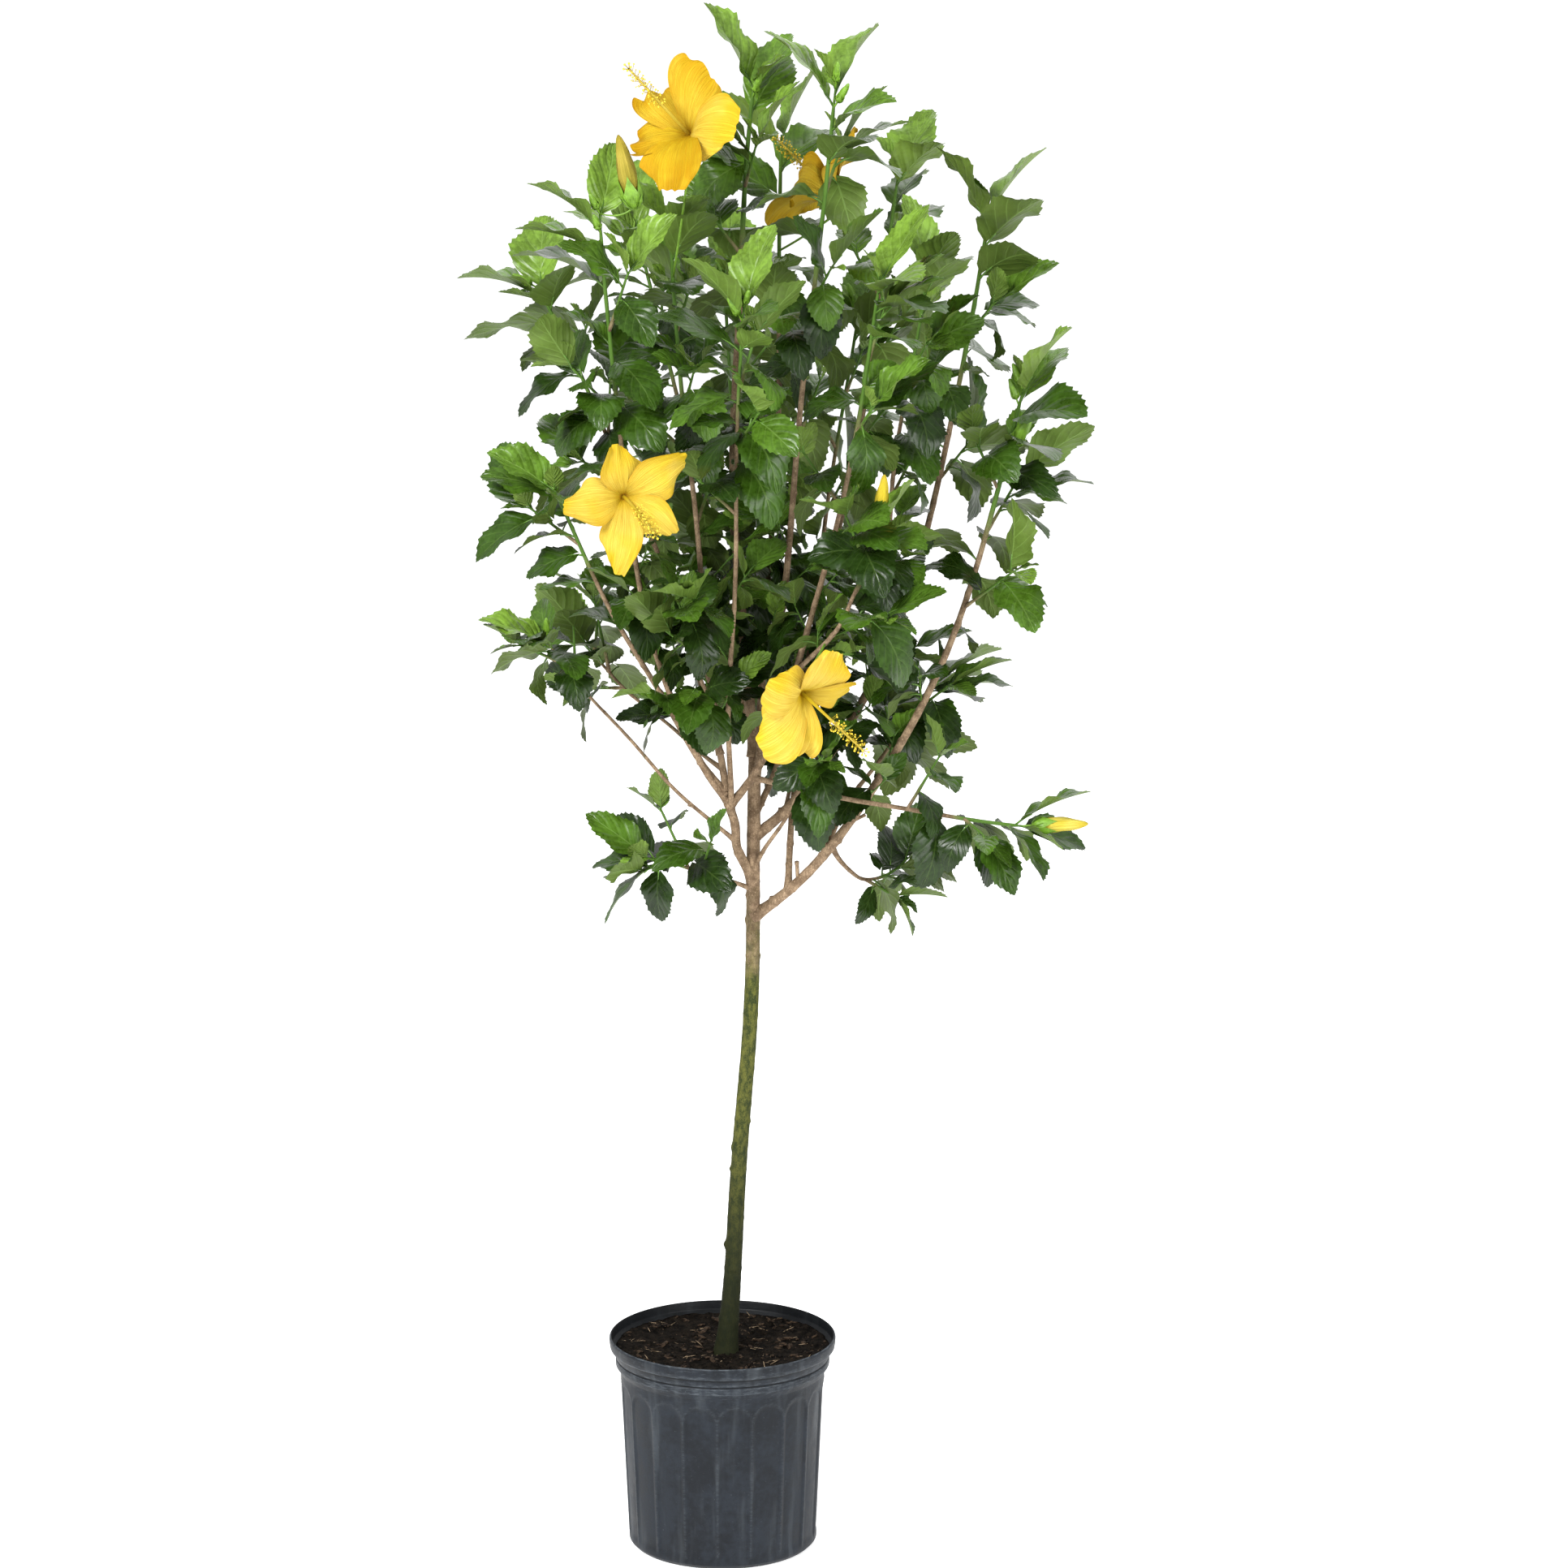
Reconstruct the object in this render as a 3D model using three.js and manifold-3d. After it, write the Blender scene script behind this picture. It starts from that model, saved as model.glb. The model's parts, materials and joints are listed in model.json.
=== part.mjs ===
// A yellow-flowered hibiscus shrub trained as a small standard tree, in a round plastic nursery pot.
// Millimetres, +Z up. The origin is the middle of the pot's flat underside, and the front faces -Y.
//
// A bare trunk rises from the soil, leans a little, and forks into boughs that swing out and then climb.
// Each bough is one tapering limb. Where its leaves begin it meets a mass of foliage: a leader that
// carries on along the same curve, with side shoots, leaves, buds and blooms fused to it.
import * as THREE from "three";
import { mergeVertices } from "three/addons/utils/BufferGeometryUtils.js";
import Module from "manifold-3d";

const wasm = await Module();
wasm.setup();

// Clearance between pieces that touch on the real plant
const CLEARANCE = 0.3;
const UP = new THREE.Vector3(0, 0, 1);
const GOLDEN_TURN = THREE.MathUtils.degToRad(137.5);
// Another seed grows another plant on the same limbs. A limb's own `sow` does so for its mass alone.
const SEED = 101;

const POT = {
  rimRadius: 127,
  height: 241,
  baseRadius: 105.5,
  shoulderRadius: 114.5,
  neckRadius: 121.5,
  beadRadius: 120,
  lipHeight: 13,
  neckHeight: 11,
  beadHeight: 8,
  shoulderDrop: 8,
  baseBevel: 5,
  rimBevel: 1.5,
  wall: 2.6,
  floor: 3,
  sides: 36,
};
// The soil is dished: lowest round the trunk, and higher by the wall
const SOIL = { level: 222, edgeRise: 6, flatRadius: 34 };

// The trunk runs from a flat cut on the soil to the fork. Its root flare dies away over flareHeight. Its
// curve starts a little lower, so that the cut goes right through it.
const TRUNK = {
  cutHeight: SOIL.level + CLEARANCE,
  foot: [1, 0, SOIL.level - 22],
  bend: [34, 0, 520],
  tip: [37, 0, 905],
  footRadius: 10,
  tipRadius: 7,
  flare: 4,
  flareHeight: 34,
  sway: 2.5,
  sides: 10,
  steps: 14,
};

// The limbs, in order of growth. A limb leaves its parent at a share `at` of the parent's length, is pulled
// towards `bend` and ends at `tip`. Leaves start at a share `bare` of it, and `reach` is how far they spread
// from the leader. `shoots` side shoots grow on the leader, and each carries `leaves` leaves of up to `leaf`.
const LIMBS = [
  { name: "left_fork", from: "trunk", at: 0.81, bend: [12, -22, 820], tip: [6, -34, 874],
    radius: [5.2, 4.6], bare: 1 },
  { name: "left_low", from: "left_fork", at: 0.96, bend: [-73, -75, 976], tip: [-176, -100, 1217],
    radius: [3.8, 1.8], bare: 0.58, reach: 118, shoots: 4, leaves: 4, leaf: 80 },
  { name: "left_front", from: "left_fork", at: 0.9, bend: [-97, -100, 981], tip: [-125, -120, 1514],
    radius: [4.0, 1.9], bare: 0.56, reach: 120, shoots: 4, leaves: 4, leaf: 86 },
  { name: "centre_left", from: "left_fork", at: 1, bend: [-24, -42, 1058], tip: [-53, -40, 1495],
    radius: [3.9, 1.9], bare: 0.52, reach: 105, shoots: 4, leaves: 4, leaf: 80 },
  { name: "left_outer", from: "centre_left", at: 0.1, bend: [-61, 25, 1146], tip: [-197, 35, 1415],
    radius: [3.3, 1.8], bare: 0.52, reach: 118, shoots: 3, leaves: 4, leaf: 84 },
  { name: "centre", from: "trunk", at: 1, bend: [-5, 10, 1268], tip: [37, 15, 1637],
    radius: [6.0, 2.0], bare: 0.52, reach: 105, shoots: 4, leaves: 4, leaf: 88 },
  { name: "back_left", from: "trunk", at: 0.985, bend: [7, 80, 1095], tip: [-94, 160, 1461],
    radius: [3.4, 1.8], bare: 0.52, reach: 120, shoots: 3, leaves: 4, leaf: 84 },
  { name: "back", from: "trunk", at: 0.95, bend: [19, 160, 1030], tip: [2, 245, 1399],
    radius: [3.4, 1.8], bare: 0.54, reach: 120, shoots: 3, leaves: 4, leaf: 84 },
  { name: "centre_back", from: "trunk", at: 0.97, bend: [62, 80, 1106], tip: [66, 125, 1572],
    radius: [4.2, 1.9], bare: 0.54, reach: 105, shoots: 4, leaves: 4, leaf: 84 },
  { name: "centre_front", from: "trunk", at: 0.94, bend: [72, -75, 1104], tip: [123, -90, 1643],
    radius: [4.6, 2.0], bare: 0.56, reach: 110, shoots: 4, leaves: 4, leaf: 88 },
  { name: "right_back", from: "trunk", at: 0.91, bend: [121, 90, 982], tip: [195, 130, 1536],
    radius: [3.8, 1.8], bare: 0.56, reach: 110, shoots: 4, leaves: 4, leaf: 84 },
  { name: "right_upper", from: "trunk", at: 0.88, bend: [215, 20, 931], tip: [291, 35, 1501],
    radius: [6.0, 2.0], bare: 0.6, reach: 110, shoots: 4, leaves: 4, leaf: 88 },
  { name: "right_inner", from: "right_upper", at: 0.42, bend: [177, -70, 1192], tip: [223, -62, 1448],
    radius: [3.0, 1.7], bare: 0.42, reach: 105, shoots: 3, leaves: 4, leaf: 80 },
  { name: "right_outer", from: "trunk", at: 0.76, bend: [229, -45, 860], tip: [324, -75, 1321],
    radius: [6.2, 2.1], bare: 0.6, reach: 125, shoots: 4, leaves: 4, leaf: 90 },
  { name: "back_right", from: "right_outer", at: 0.1, bend: [85, 110, 963], tip: [153, 245, 1362],
    radius: [3.8, 1.7], bare: 0.58, reach: 120, shoots: 4, leaves: 4, leaf: 84, sow: 1 },
  { name: "front_right", from: "left_fork", at: 0.82, bend: [104, -110, 973], tip: [169, -190, 1454],
    radius: [4.6, 1.8], bare: 0.6, reach: 115, shoots: 4, leaves: 4, leaf: 86 },
  { name: "front", from: "left_fork", at: 0.74, bend: [7, -150, 1030], tip: [27, -220, 1429],
    radius: [3.2, 1.7], bare: 0.64, reach: 105, shoots: 3, leaves: 4, leaf: 80 },
  { name: "inner_right", from: "front_right", at: 0.42, bend: [148, -175, 1093], tip: [168, -210, 1187],
    radius: [2.7, 1.7], bare: 0.4, reach: 100, shoots: 3, leaves: 4, leaf: 88 },
  { name: "inner_front", from: "front", at: 0.25, bend: [-23, -120, 1014], tip: [-42, -165, 1106],
    radius: [2.5, 1.5], bare: 0.4, reach: 100, shoots: 3, leaves: 4, leaf: 80 },
  { name: "low_right_front", from: "front_right", at: 0.13, bend: [188, -98, 864], tip: [325, -110, 851],
    radius: [3.0, 1.9], bare: 0.5, reach: 100, shoots: 2, leaves: 3, leaf: 74, sow: 1 },
  { name: "low_right_back", from: "right_outer", at: 0.24, bend: [151, 45, 724], tip: [207, 75, 772],
    radius: [2.6, 1.4], bare: 0.42, reach: 85, shoots: 2, leaves: 3, leaf: 62 },
  { name: "low_right_middle", from: "right_outer", at: 0.2, bend: [150, 20, 876], tip: [236, 50, 975],
    radius: [3.0, 1.6], bare: 0.48, reach: 105, shoots: 3, leaves: 4, leaf: 88, sow: 1 },
  { name: "low_front", from: "trunk", at: 0.83, bend: [75, -50, 861], tip: [124, -95, 945],
    radius: [2.4, 1.5], bare: 0.42, reach: 95, shoots: 2, leaves: 4, leaf: 72 },
  { name: "low_back", from: "trunk", at: 0.86, bend: [39, 110, 856], tip: [60, 200, 991],
    radius: [2.8, 1.6], bare: 0.45, reach: 120, shoots: 3, leaves: 4, leaf: 74 },
  { name: "low_left_long", from: "left_fork", at: 0.45, bend: [-93, -60, 913], tip: [-185, -80, 1046],
    radius: [2.3, 1.4], bare: 0.82, reach: 80, shoots: 2, leaves: 3, leaf: 70 },
  { name: "low_left_back", from: "centre_left", at: 0.06, bend: [-81, 30, 944], tip: [-163, 85, 1024],
    radius: [2.3, 1.4], bare: 0.6, reach: 110, shoots: 3, leaves: 3, leaf: 70 },
  { name: "low_left_small", from: "trunk", at: 0.8, bend: [-20, -28, 782], tip: [-81, -52, 802],
    radius: [2.4, 1.5], bare: 0.4, reach: 95, shoots: 3, leaves: 3, leaf: 72 },
];
const LIMB = { sway: 3, swayTurns: 1.5, sides: 6, step: 70, fewestSteps: 3 };

// Side shoots leave the leader and rise a little. Their length is a share of the mass's reach, and the top
// one is shorter. Spread and places run from the leader's foot to its tip.
const SHOOT = {
  sides: 3,
  radius: [2.2, 1.5],
  length: 0.62,
  strayLength: [0.7, 1.2],
  topLength: 0.65,
  rise: 0.3,
  spread: [62, 38],
  places: [0.06, 0.88],
  strayPlace: 0.4,
  leafPlaces: [0.95, 0.35],
};
// Leaves straight on the leader: how many more than on a shoot, the places of the top and the lowest one, and
// how they crowd towards the tip.
const LEADER = { sides: 3, step: 110, moreLeaves: 4, leafPlaces: [0.985, 0.365], crowding: 1.6 };
// A leaf's stalk and its blade, as shares of the leaf's length, with the angles that age opens it by.
const LEAF = {
  stalk: 0.26,
  widest: 0.42,
  halfWidth: 0.41,
  thickness: 0.018,
  spread: [34, 78],
  droop: [0.05, 0.75],
  fold: [26, 10],
  curl: [8, 34],
  roll: 34,
  faceAlongStem: 0.8,
  // How far each leaf strays from those
  strayDegrees: 20,
  strayDroop: [0.6, 1.4],
  strayCurl: [0.5, 1.5],
  // Sizes on a side shoot, on the leader, and of a shoot's lowest leaf beside its top one
  shootSizes: [0.75, 1],
  leaderSizes: [0.85, 1.05],
  lowest: 0.8,
};
// A leaf stays this clear of limbs and of other masses. One that can't lie where it first grows is turned
// and made a little smaller, this many times, before it is given up. It strays a little from the middle of
// the flat that it grows on.
const ROOM = { limb: 3.5, mass: 1.2, tries: 8, shrink: 0.95, strayOnFlat: 0.24 };

// Open blooms: the middle of the flower, the way it faces, and the share of its mass's leader it grows from.
const BLOOMS = [
  { mass: "left_front", at: 0.1, middle: [-98, -213, 1228], facing: [0.25, -0.9, -0.3], roll: 12 },
  { mass: "centre_left", at: 0.86, middle: [-33, -127, 1601], facing: [-0.52, -0.74, 0.42], roll: 40 },
  { mass: "inner_front", at: 0.3, middle: [91, -219, 1017], facing: [0.7, -0.42, -0.56], roll: 28 },
  { mass: "centre_back", at: 0.7, middle: [122, 60, 1512], facing: [-0.62, 0.3, 0.6], roll: 5 },
];
const BLOOM = {
  petals: 5,
  // One petal's outline: the share of the length out from the throat, of a fifth turn aside, and of the
  // length forwards
  rim: [
    [0.24, -0.5, 0.14],
    [0.64, -0.38, 0.36],
    [0.95, -0.2, 0.28],
    [1, 0.08, 0.22],
    [0.7, 0.36, 0.26],
  ],
  length: 76,
  thickness: 5,
  column: 96,
  columnRadius: 2,
  stalkRadius: 2,
  throatDepth: 0.12,
  // The ball that stays free of leaves, and how far its middle lies ahead of the flower's
  room: 62,
  roomAhead: 0.2,
};

// Closed buds: the root's share of the leader, the way it points, its length and its half width.
const BUDS = [
  { mass: "low_right_front", at: 1, along: [0.98, -0.05, 0.04], length: 72, radius: 10 },
  { mass: "inner_right", at: 0.95, along: [0.1, -0.1, 1], length: 70, radius: 9 },
  { mass: "right_outer", at: 0.8, along: [0.5, -0.3, 0.9], length: 52, radius: 8 },
  { mass: "centre_left", at: 0.72, along: [-0.75, -0.3, 0.85], length: 62, radius: 8 },
  { mass: "right_back", at: 0.35, along: [0.1, -0.3, -1], length: 58, radius: 7 },
];
const BUD = { stalk: 0.25, stalkRadius: 1, sides: 4, steps: 4 };

const BARK = new THREE.MeshStandardMaterial({ name: "bark", color: 0x8a6f5a, roughness: 0.85 });
const TRUNK_BARK = new THREE.MeshStandardMaterial({ name: "trunk_bark", color: 0x6f6a3c, roughness: 0.9 });
const LEAVES = new THREE.MeshStandardMaterial({ name: "leaves", color: 0x2f6b24, roughness: 0.4 });
const POT_PLASTIC = new THREE.MeshStandardMaterial({ name: "pot_plastic", color: 0x34383d, roughness: 0.6 });
const POTTING_SOIL = new THREE.MeshStandardMaterial({ name: "potting_soil", color: 0x2c211a, roughness: 1 });

const vector = (numbers) => new THREE.Vector3(...numbers);
const mix = (pair, share) => pair[0] + (pair[1] - pair[0]) * share;
const radians = THREE.MathUtils.degToRad;

// A run of numbers from 0 to 1 that is the same each time for one seed.
function seeded(seed) {
  let state = seed >>> 0;
  const draw = () => {
    state = (Math.imul(state, 1664525) + 1013904223) >>> 0;
    return state / 2 ** 32;
  };
  for (let i = 0; i < 4; i += 1) draw();
  return draw;
}

// A limb's centre line: a curve pulled towards one point, with a slow sway that dies out at both ends.
class Stem extends THREE.Curve {
  constructor(start, bend, tip, sway = 0, phase = 0) {
    super();
    this.line = new THREE.QuadraticBezierCurve3(start, bend, tip);
    this.sway = sway;
    this.phase = phase;
  }

  getPoint(t, target = new THREE.Vector3()) {
    const swing = this.sway * Math.sin(Math.PI * t);
    const turn = this.phase + LIMB.swayTurns * 2 * Math.PI * t;
    this.line.getPoint(t, target);
    target.x += swing * Math.cos(turn);
    target.y += swing * Math.sin(turn);
    return target;
  }

  // The way the stem runs at t, from two points close to it.
  along(t) {
    const step = 0.01;
    return this.getPoint(Math.min(1, t + step)).sub(this.getPoint(Math.max(0, t - step))).normalize();
  }
}

// A direction square to an axis, turned round it from the side that a reference direction fixes.
function radialOf(axis, reference, turn) {
  const side = new THREE.Vector3().crossVectors(reference, axis).normalize();
  const other = new THREE.Vector3().crossVectors(axis, side);
  return side.multiplyScalar(Math.cos(turn)).addScaledVector(other, Math.sin(turn));
}

// The reference for a stretch of stem: level and across it, unless the stretch lies along that itself.
function referenceFor(stem, from, to) {
  const chord = stem.getPoint(to).sub(stem.getPoint(from));
  return Math.abs(chord.y) < 0.7 * chord.length() ? new THREE.Vector3(0, 1, 0) : UP;
}

function solid(geometry) {
  const bare = geometry.clone();
  bare.deleteAttribute("normal");
  bare.deleteAttribute("uv");
  const merged = mergeVertices(bare, 1e-4);
  const mesh = new wasm.Mesh({
    numProp: 3,
    vertProperties: merged.attributes.position.array,
    triVerts: new Uint32Array(merged.index.array),
  });
  return new wasm.Manifold(mesh);
}

// A tapering round limb on a stretch of a stem: a straight prism whose points are laid along the curve.
function limbSolid(stem, from, to, radiusAt, sides, steps) {
  const ring = [];
  for (let i = 0; i < sides; i += 1) {
    const angle = (2 * Math.PI * i) / sides;
    ring.push(new THREE.Vector2(Math.cos(angle), Math.sin(angle)));
  }
  const options = { depth: 1, steps, bevelEnabled: false };
  const geometry = new THREE.ExtrudeGeometry(new THREE.Shape(ring), options);
  const reference = referenceFor(stem, from, to);
  const place = geometry.attributes.position;
  for (let i = 0; i < place.count; i += 1) {
    const share = place.getZ(i);
    const t = from + (to - from) * share;
    const turn = Math.atan2(place.getY(i), place.getX(i));
    const point = stem.getPoint(t).addScaledVector(radialOf(stem.along(t), reference, turn), radiusAt(t));
    place.setXYZ(i, point.x, point.y, point.z);
  }
  return solid(geometry);
}

const stepsFor = (length, step) => Math.max(LIMB.fewestSteps, Math.ceil(length / step));

// A thin folded blade: an outline that starts at its root and goes round its tip, thick in the middle.
function bladeSolid(middle, outline, face, thickness) {
  const rise = face.clone().multiplyScalar(thickness / 2);
  const points = [middle.clone().add(rise), middle.clone().sub(rise), ...outline];
  const faces = [];
  for (let i = 0; i < outline.length; i += 1) {
    const here = 2 + i;
    const next = 2 + ((i + 1) % outline.length);
    faces.push(0, here, next, 1, next, here);
  }
  const geometry = new THREE.BufferGeometry().setFromPoints(points);
  geometry.setIndex(faces);
  const made = solid(geometry);
  if (made.volume() > 0) return made;
  for (let i = 0; i < faces.length; i += 3) [faces[i], faces[i + 1]] = [faces[i + 1], faces[i]];
  geometry.setIndex(faces);
  return solid(geometry);
}

// Keeps the biggest closed body and drops loose scraps and sealed hollows.
function oneBody(made) {
  const bodies = made.decompose().sort((a, b) => b.volume() - a.volume());
  return bodies[0];
}

// The distance from a point to the nearest place on a run of points.
function distanceToRun(point, run) {
  let least = Infinity;
  const nearest = new THREE.Vector3();
  for (let i = 1; i < run.length; i += 1) {
    const stretch = new THREE.Line3(run[i - 1], run[i]);
    stretch.closestPointToPoint(point, true, nearest);
    least = Math.min(least, nearest.distanceTo(point));
  }
  return least;
}

function runOf(stem, from, to, steps) {
  const run = [];
  for (let i = 0; i <= steps; i += 1) run.push(stem.getPoint(from + ((to - from) * i) / steps));
  return run;
}

// The trunk and the limbs, as centre lines with their radii.
function plantStems() {
  const trunk = {
    name: "trunk",
    stem: new Stem(vector(TRUNK.foot), vector(TRUNK.bend), vector(TRUNK.tip), TRUNK.sway),
    bare: 1,
  };
  trunk.radiusAt = (t) => {
    const height = Math.max(0, trunk.stem.getPoint(t).z - TRUNK.cutHeight);
    const flare = TRUNK.flare * Math.exp(-height / TRUNK.flareHeight);
    return mix([TRUNK.footRadius, TRUNK.tipRadius], t) + flare;
  };
  const stems = new Map([["trunk", trunk]]);
  LIMBS.forEach((limb, order) => {
    const start = stems.get(limb.from).stem.getPoint(limb.at);
    const stem = new Stem(start, vector(limb.bend), vector(limb.tip), LIMB.sway, order * GOLDEN_TURN);
    const taper = (t) => mix(limb.radius, t);
    stems.set(limb.name, { ...limb, order, stem, radiusAt: taper });
  });
  return stems;
}

// Each mass's own space: nearer to its leader than to any other leader, within its reach, and clear of limbs
// and blooms.
function spacesOf(stems) {
  const leaders = new Map();
  const woods = [];
  for (const limb of stems.values()) {
    const boughRun = runOf(limb.stem, 0, limb.bare, 12);
    woods.push({ owner: null, run: boughRun, radius: limb.radiusAt(limb.bare * 0.3) });
    if (limb.bare === 1) continue;
    const run = runOf(limb.stem, limb.bare, 1, 8);
    leaders.set(limb.name, run);
    woods.push({ owner: limb.name, run, radius: limb.radiusAt(limb.bare) });
  }
  const blooms = BLOOMS.map((bloom) => {
    const limb = stems.get(bloom.mass);
    const facing = vector(bloom.facing).normalize();
    const middle = vector(bloom.middle);
    const root = limb.stem.getPoint(mix([limb.bare, 1], bloom.at));
    const throat = middle.clone().addScaledVector(facing, -BLOOM.length * BLOOM.throatDepth);
    woods.push({ owner: bloom.mass, run: [root, throat], radius: BLOOM.stalkRadius });
    return { ...bloom, facing, middle, root, throat };
  });

  function holds(points, name, reach) {
    return points.every((point) => {
      const own = distanceToRun(point, leaders.get(name));
      if (own > reach) return false;
      for (const [other, run] of leaders) {
        if (other !== name && distanceToRun(point, run) < own + 2 * ROOM.mass) return false;
      }
      for (const wood of woods) {
        if (wood.owner !== name && distanceToRun(point, wood.run) < wood.radius + ROOM.limb) return false;
      }
      return blooms.every((bloom) => {
        const front = bloom.middle.clone().addScaledVector(bloom.facing, BLOOM.length * BLOOM.roomAhead);
        return point.distanceTo(front) > BLOOM.room;
      });
    });
  }
  return { holds, blooms };
}

// Where one leaf lies, from its root on an axis and the side it grows to. Its age runs from 0, at a shoot's
// tip, to 1, at its foot.
function leafPlan(root, axis, radial, age, size, draw) {
  const spread = radians(mix(LEAF.spread, age) + LEAF.strayDegrees * (draw() - 0.5));
  const out = axis.clone().multiplyScalar(Math.cos(spread)).addScaledVector(radial, Math.sin(spread));
  const base = root.clone().addScaledVector(out, LEAF.stalk * size);
  const droop = mix(LEAF.droop, age) * mix(LEAF.strayDroop, draw());
  const lay = out.clone().addScaledVector(UP, -droop).normalize();
  const face = UP.clone().addScaledVector(axis, LEAF.faceAlongStem);
  face.addScaledVector(lay, -face.dot(lay)).normalize();
  face.applyAxisAngle(lay, radians(LEAF.roll) * (2 * draw() - 1));
  const across = new THREE.Vector3().crossVectors(lay, face);
  const fold = radians(mix(LEAF.fold, age));
  const curl = radians(mix(LEAF.curl, age) * mix(LEAF.strayCurl, draw()));
  const middle = base.clone().addScaledVector(lay, LEAF.widest * size);
  const tip = middle.clone();
  tip.addScaledVector(lay, (1 - LEAF.widest) * size * Math.cos(curl));
  tip.addScaledVector(face, -(1 - LEAF.widest) * size * Math.sin(curl));
  const half = LEAF.halfWidth * size;
  const edge = (way) =>
    middle
      .clone()
      .addScaledVector(across, way * half * Math.cos(fold))
      .addScaledVector(face, half * Math.sin(fold));
  return { root, base, middle, tip, left: edge(-1), right: edge(1), face, size };
}

// Points spread over a leaf, for the test that it keeps to its space.
function leafSamples(leaf) {
  const points = [];
  for (const share of [0.35, 0.68, 1]) {
    const centre = leaf.root.clone().lerp(leaf.middle, share);
    for (const edge of [leaf.left, leaf.right]) {
      const rim = leaf.root.clone().lerp(edge, share);
      points.push(rim, centre.clone().lerp(rim, 0.5));
    }
    points.push(centre);
  }
  for (const share of [0.33, 0.66, 1]) {
    const centre = leaf.middle.clone().lerp(leaf.tip, share);
    for (const edge of [leaf.left, leaf.right]) {
      const rim = edge.clone().lerp(leaf.tip, share);
      points.push(rim, centre.clone().lerp(rim, 0.5));
    }
    points.push(centre);
  }
  return points;
}

function leafSolid(leaf) {
  const outline = [leaf.root, leaf.left, leaf.tip, leaf.right];
  return bladeSolid(leaf.middle, outline, leaf.face, LEAF.thickness * leaf.size);
}

// Whether a straight run from one point to another passes through a triangle.
function pierces(from, to, [a, b, c]) {
  const way = to.clone().sub(from);
  const ray = new THREE.Ray(from, way.clone().normalize());
  const hit = ray.intersectTriangle(a, b, c, false, new THREE.Vector3());
  return hit !== null && hit.distanceTo(from) < way.length();
}

// Whether two leaves cross, from the edges of each and the faces of the other.
function leavesCross(one, two) {
  if (one.middle.distanceTo(two.middle) > one.size + two.size) return false;
  const edges = ({ root, left, tip, right, middle }) => [
    [root, left], [left, tip], [tip, right], [right, root], [root, middle], [middle, tip],
  ];
  const faces = ({ root, left, tip, right, middle }) => [
    [root, left, middle], [left, tip, middle], [tip, right, middle], [right, root, middle],
  ];
  const through = (a, b) => edges(a).some(([from, to]) => faces(b).some((face) => pierces(from, to, face)));
  return through(one, two) || through(two, one);
}

// Whether a stem's run passes through the outer half of a leaf.
function stemCrosses(run, { left, tip, right, middle }) {
  for (let i = 1; i < run.length; i += 1) {
    for (const face of [[left, tip, middle], [tip, right, middle]]) {
      if (pierces(run[i - 1], run[i], face)) return true;
    }
  }
  return false;
}

// The side shoots and leaves of one mass, by a seeded rule. Each grows out of the middle of one flat of the
// stem under it.
function growFoliage(limb, spaces) {
  const draw = seeded(SEED * (limb.order + 1) + (limb.sow ?? 0));
  const reference = referenceFor(limb.stem, limb.bare, 1);
  const leader = { stem: limb.stem, reference, sides: LEADER.sides };
  const shoots = [];
  const leaves = [];
  const runs = [runOf(limb.stem, limb.bare, 1, 6)];

  // The side that flat number `flat` of a stem faces, a little off its middle
  function flatSide(on, axis, flat) {
    const turn = (2 * Math.PI * (flat + 0.5 + ROOM.strayOnFlat * (draw() - 0.5))) / on.sides;
    return radialOf(axis, on.reference, turn);
  }

  function addLeaf(on, t, flat, age, size) {
    const root = on.stem.getPoint(t);
    const axis = on.stem.along(t);
    for (let i = 0; i < ROOM.tries; i += 1) {
      const radial = flatSide(on, axis, flat + i);
      const leaf = leafPlan(root, axis, radial, age, size * ROOM.shrink ** i, draw);
      const clear =
        !leaves.some((grown) => leavesCross(grown, leaf)) &&
        !runs.some((run) => stemCrosses(run, leaf)) &&
        spaces.holds(leafSamples(leaf), limb.name, limb.reach);
      if (!clear) continue;
      leaves.push(leaf);
      return;
    }
  }

  for (let i = 0; i < limb.shoots; i += 1) {
    const share = mix(SHOOT.places, (i + SHOOT.strayPlace * draw()) / limb.shoots);
    const t = mix([limb.bare, 1], share);
    const root = limb.stem.getPoint(t);
    const axis = limb.stem.along(t);
    const radial = flatSide(leader, axis, i + limb.order);
    const spread = radians(mix(SHOOT.spread, share));
    const way = axis.clone().multiplyScalar(Math.cos(spread)).addScaledVector(radial, Math.sin(spread));
    const usual = limb.reach * SHOOT.length * mix([1, SHOOT.topLength], share);
    const length = usual * mix(SHOOT.strayLength, draw());
    const tip = root.clone().addScaledVector(way, length).addScaledVector(UP, length * SHOOT.rise);
    const stem = new Stem(root, root.clone().lerp(tip, 0.5), tip);
    if (!spaces.holds(runOf(stem, 0.25, 1, 5), limb.name, limb.reach)) continue;
    shoots.push(stem);
    runs.push([root, tip]);
    const shoot = { stem, reference: referenceFor(stem, 0, 1), sides: SHOOT.sides };
    for (let j = 0; j < limb.leaves; j += 1) {
      const age = j / Math.max(1, limb.leaves - 1);
      const size = limb.leaf * mix(LEAF.shootSizes, draw()) * mix([1, LEAF.lowest], age);
      addLeaf(shoot, mix(SHOOT.leafPlaces, age), i + j, age, size);
    }
  }
  // Leaves straight on the leader, closest at its tip
  const onLeader = limb.leaves + LEADER.moreLeaves;
  for (let j = 0; j < onLeader; j += 1) {
    const age = j / (onLeader - 1);
    const t = mix([limb.bare, 1], mix(LEADER.leafPlaces, age ** LEADER.crowding));
    const size = limb.leaf * mix(LEAF.leaderSizes, draw());
    addLeaf(leader, t, j + Math.floor(j / LEADER.sides), age, size);
  }
  return { shoots, leaves };
}

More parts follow.
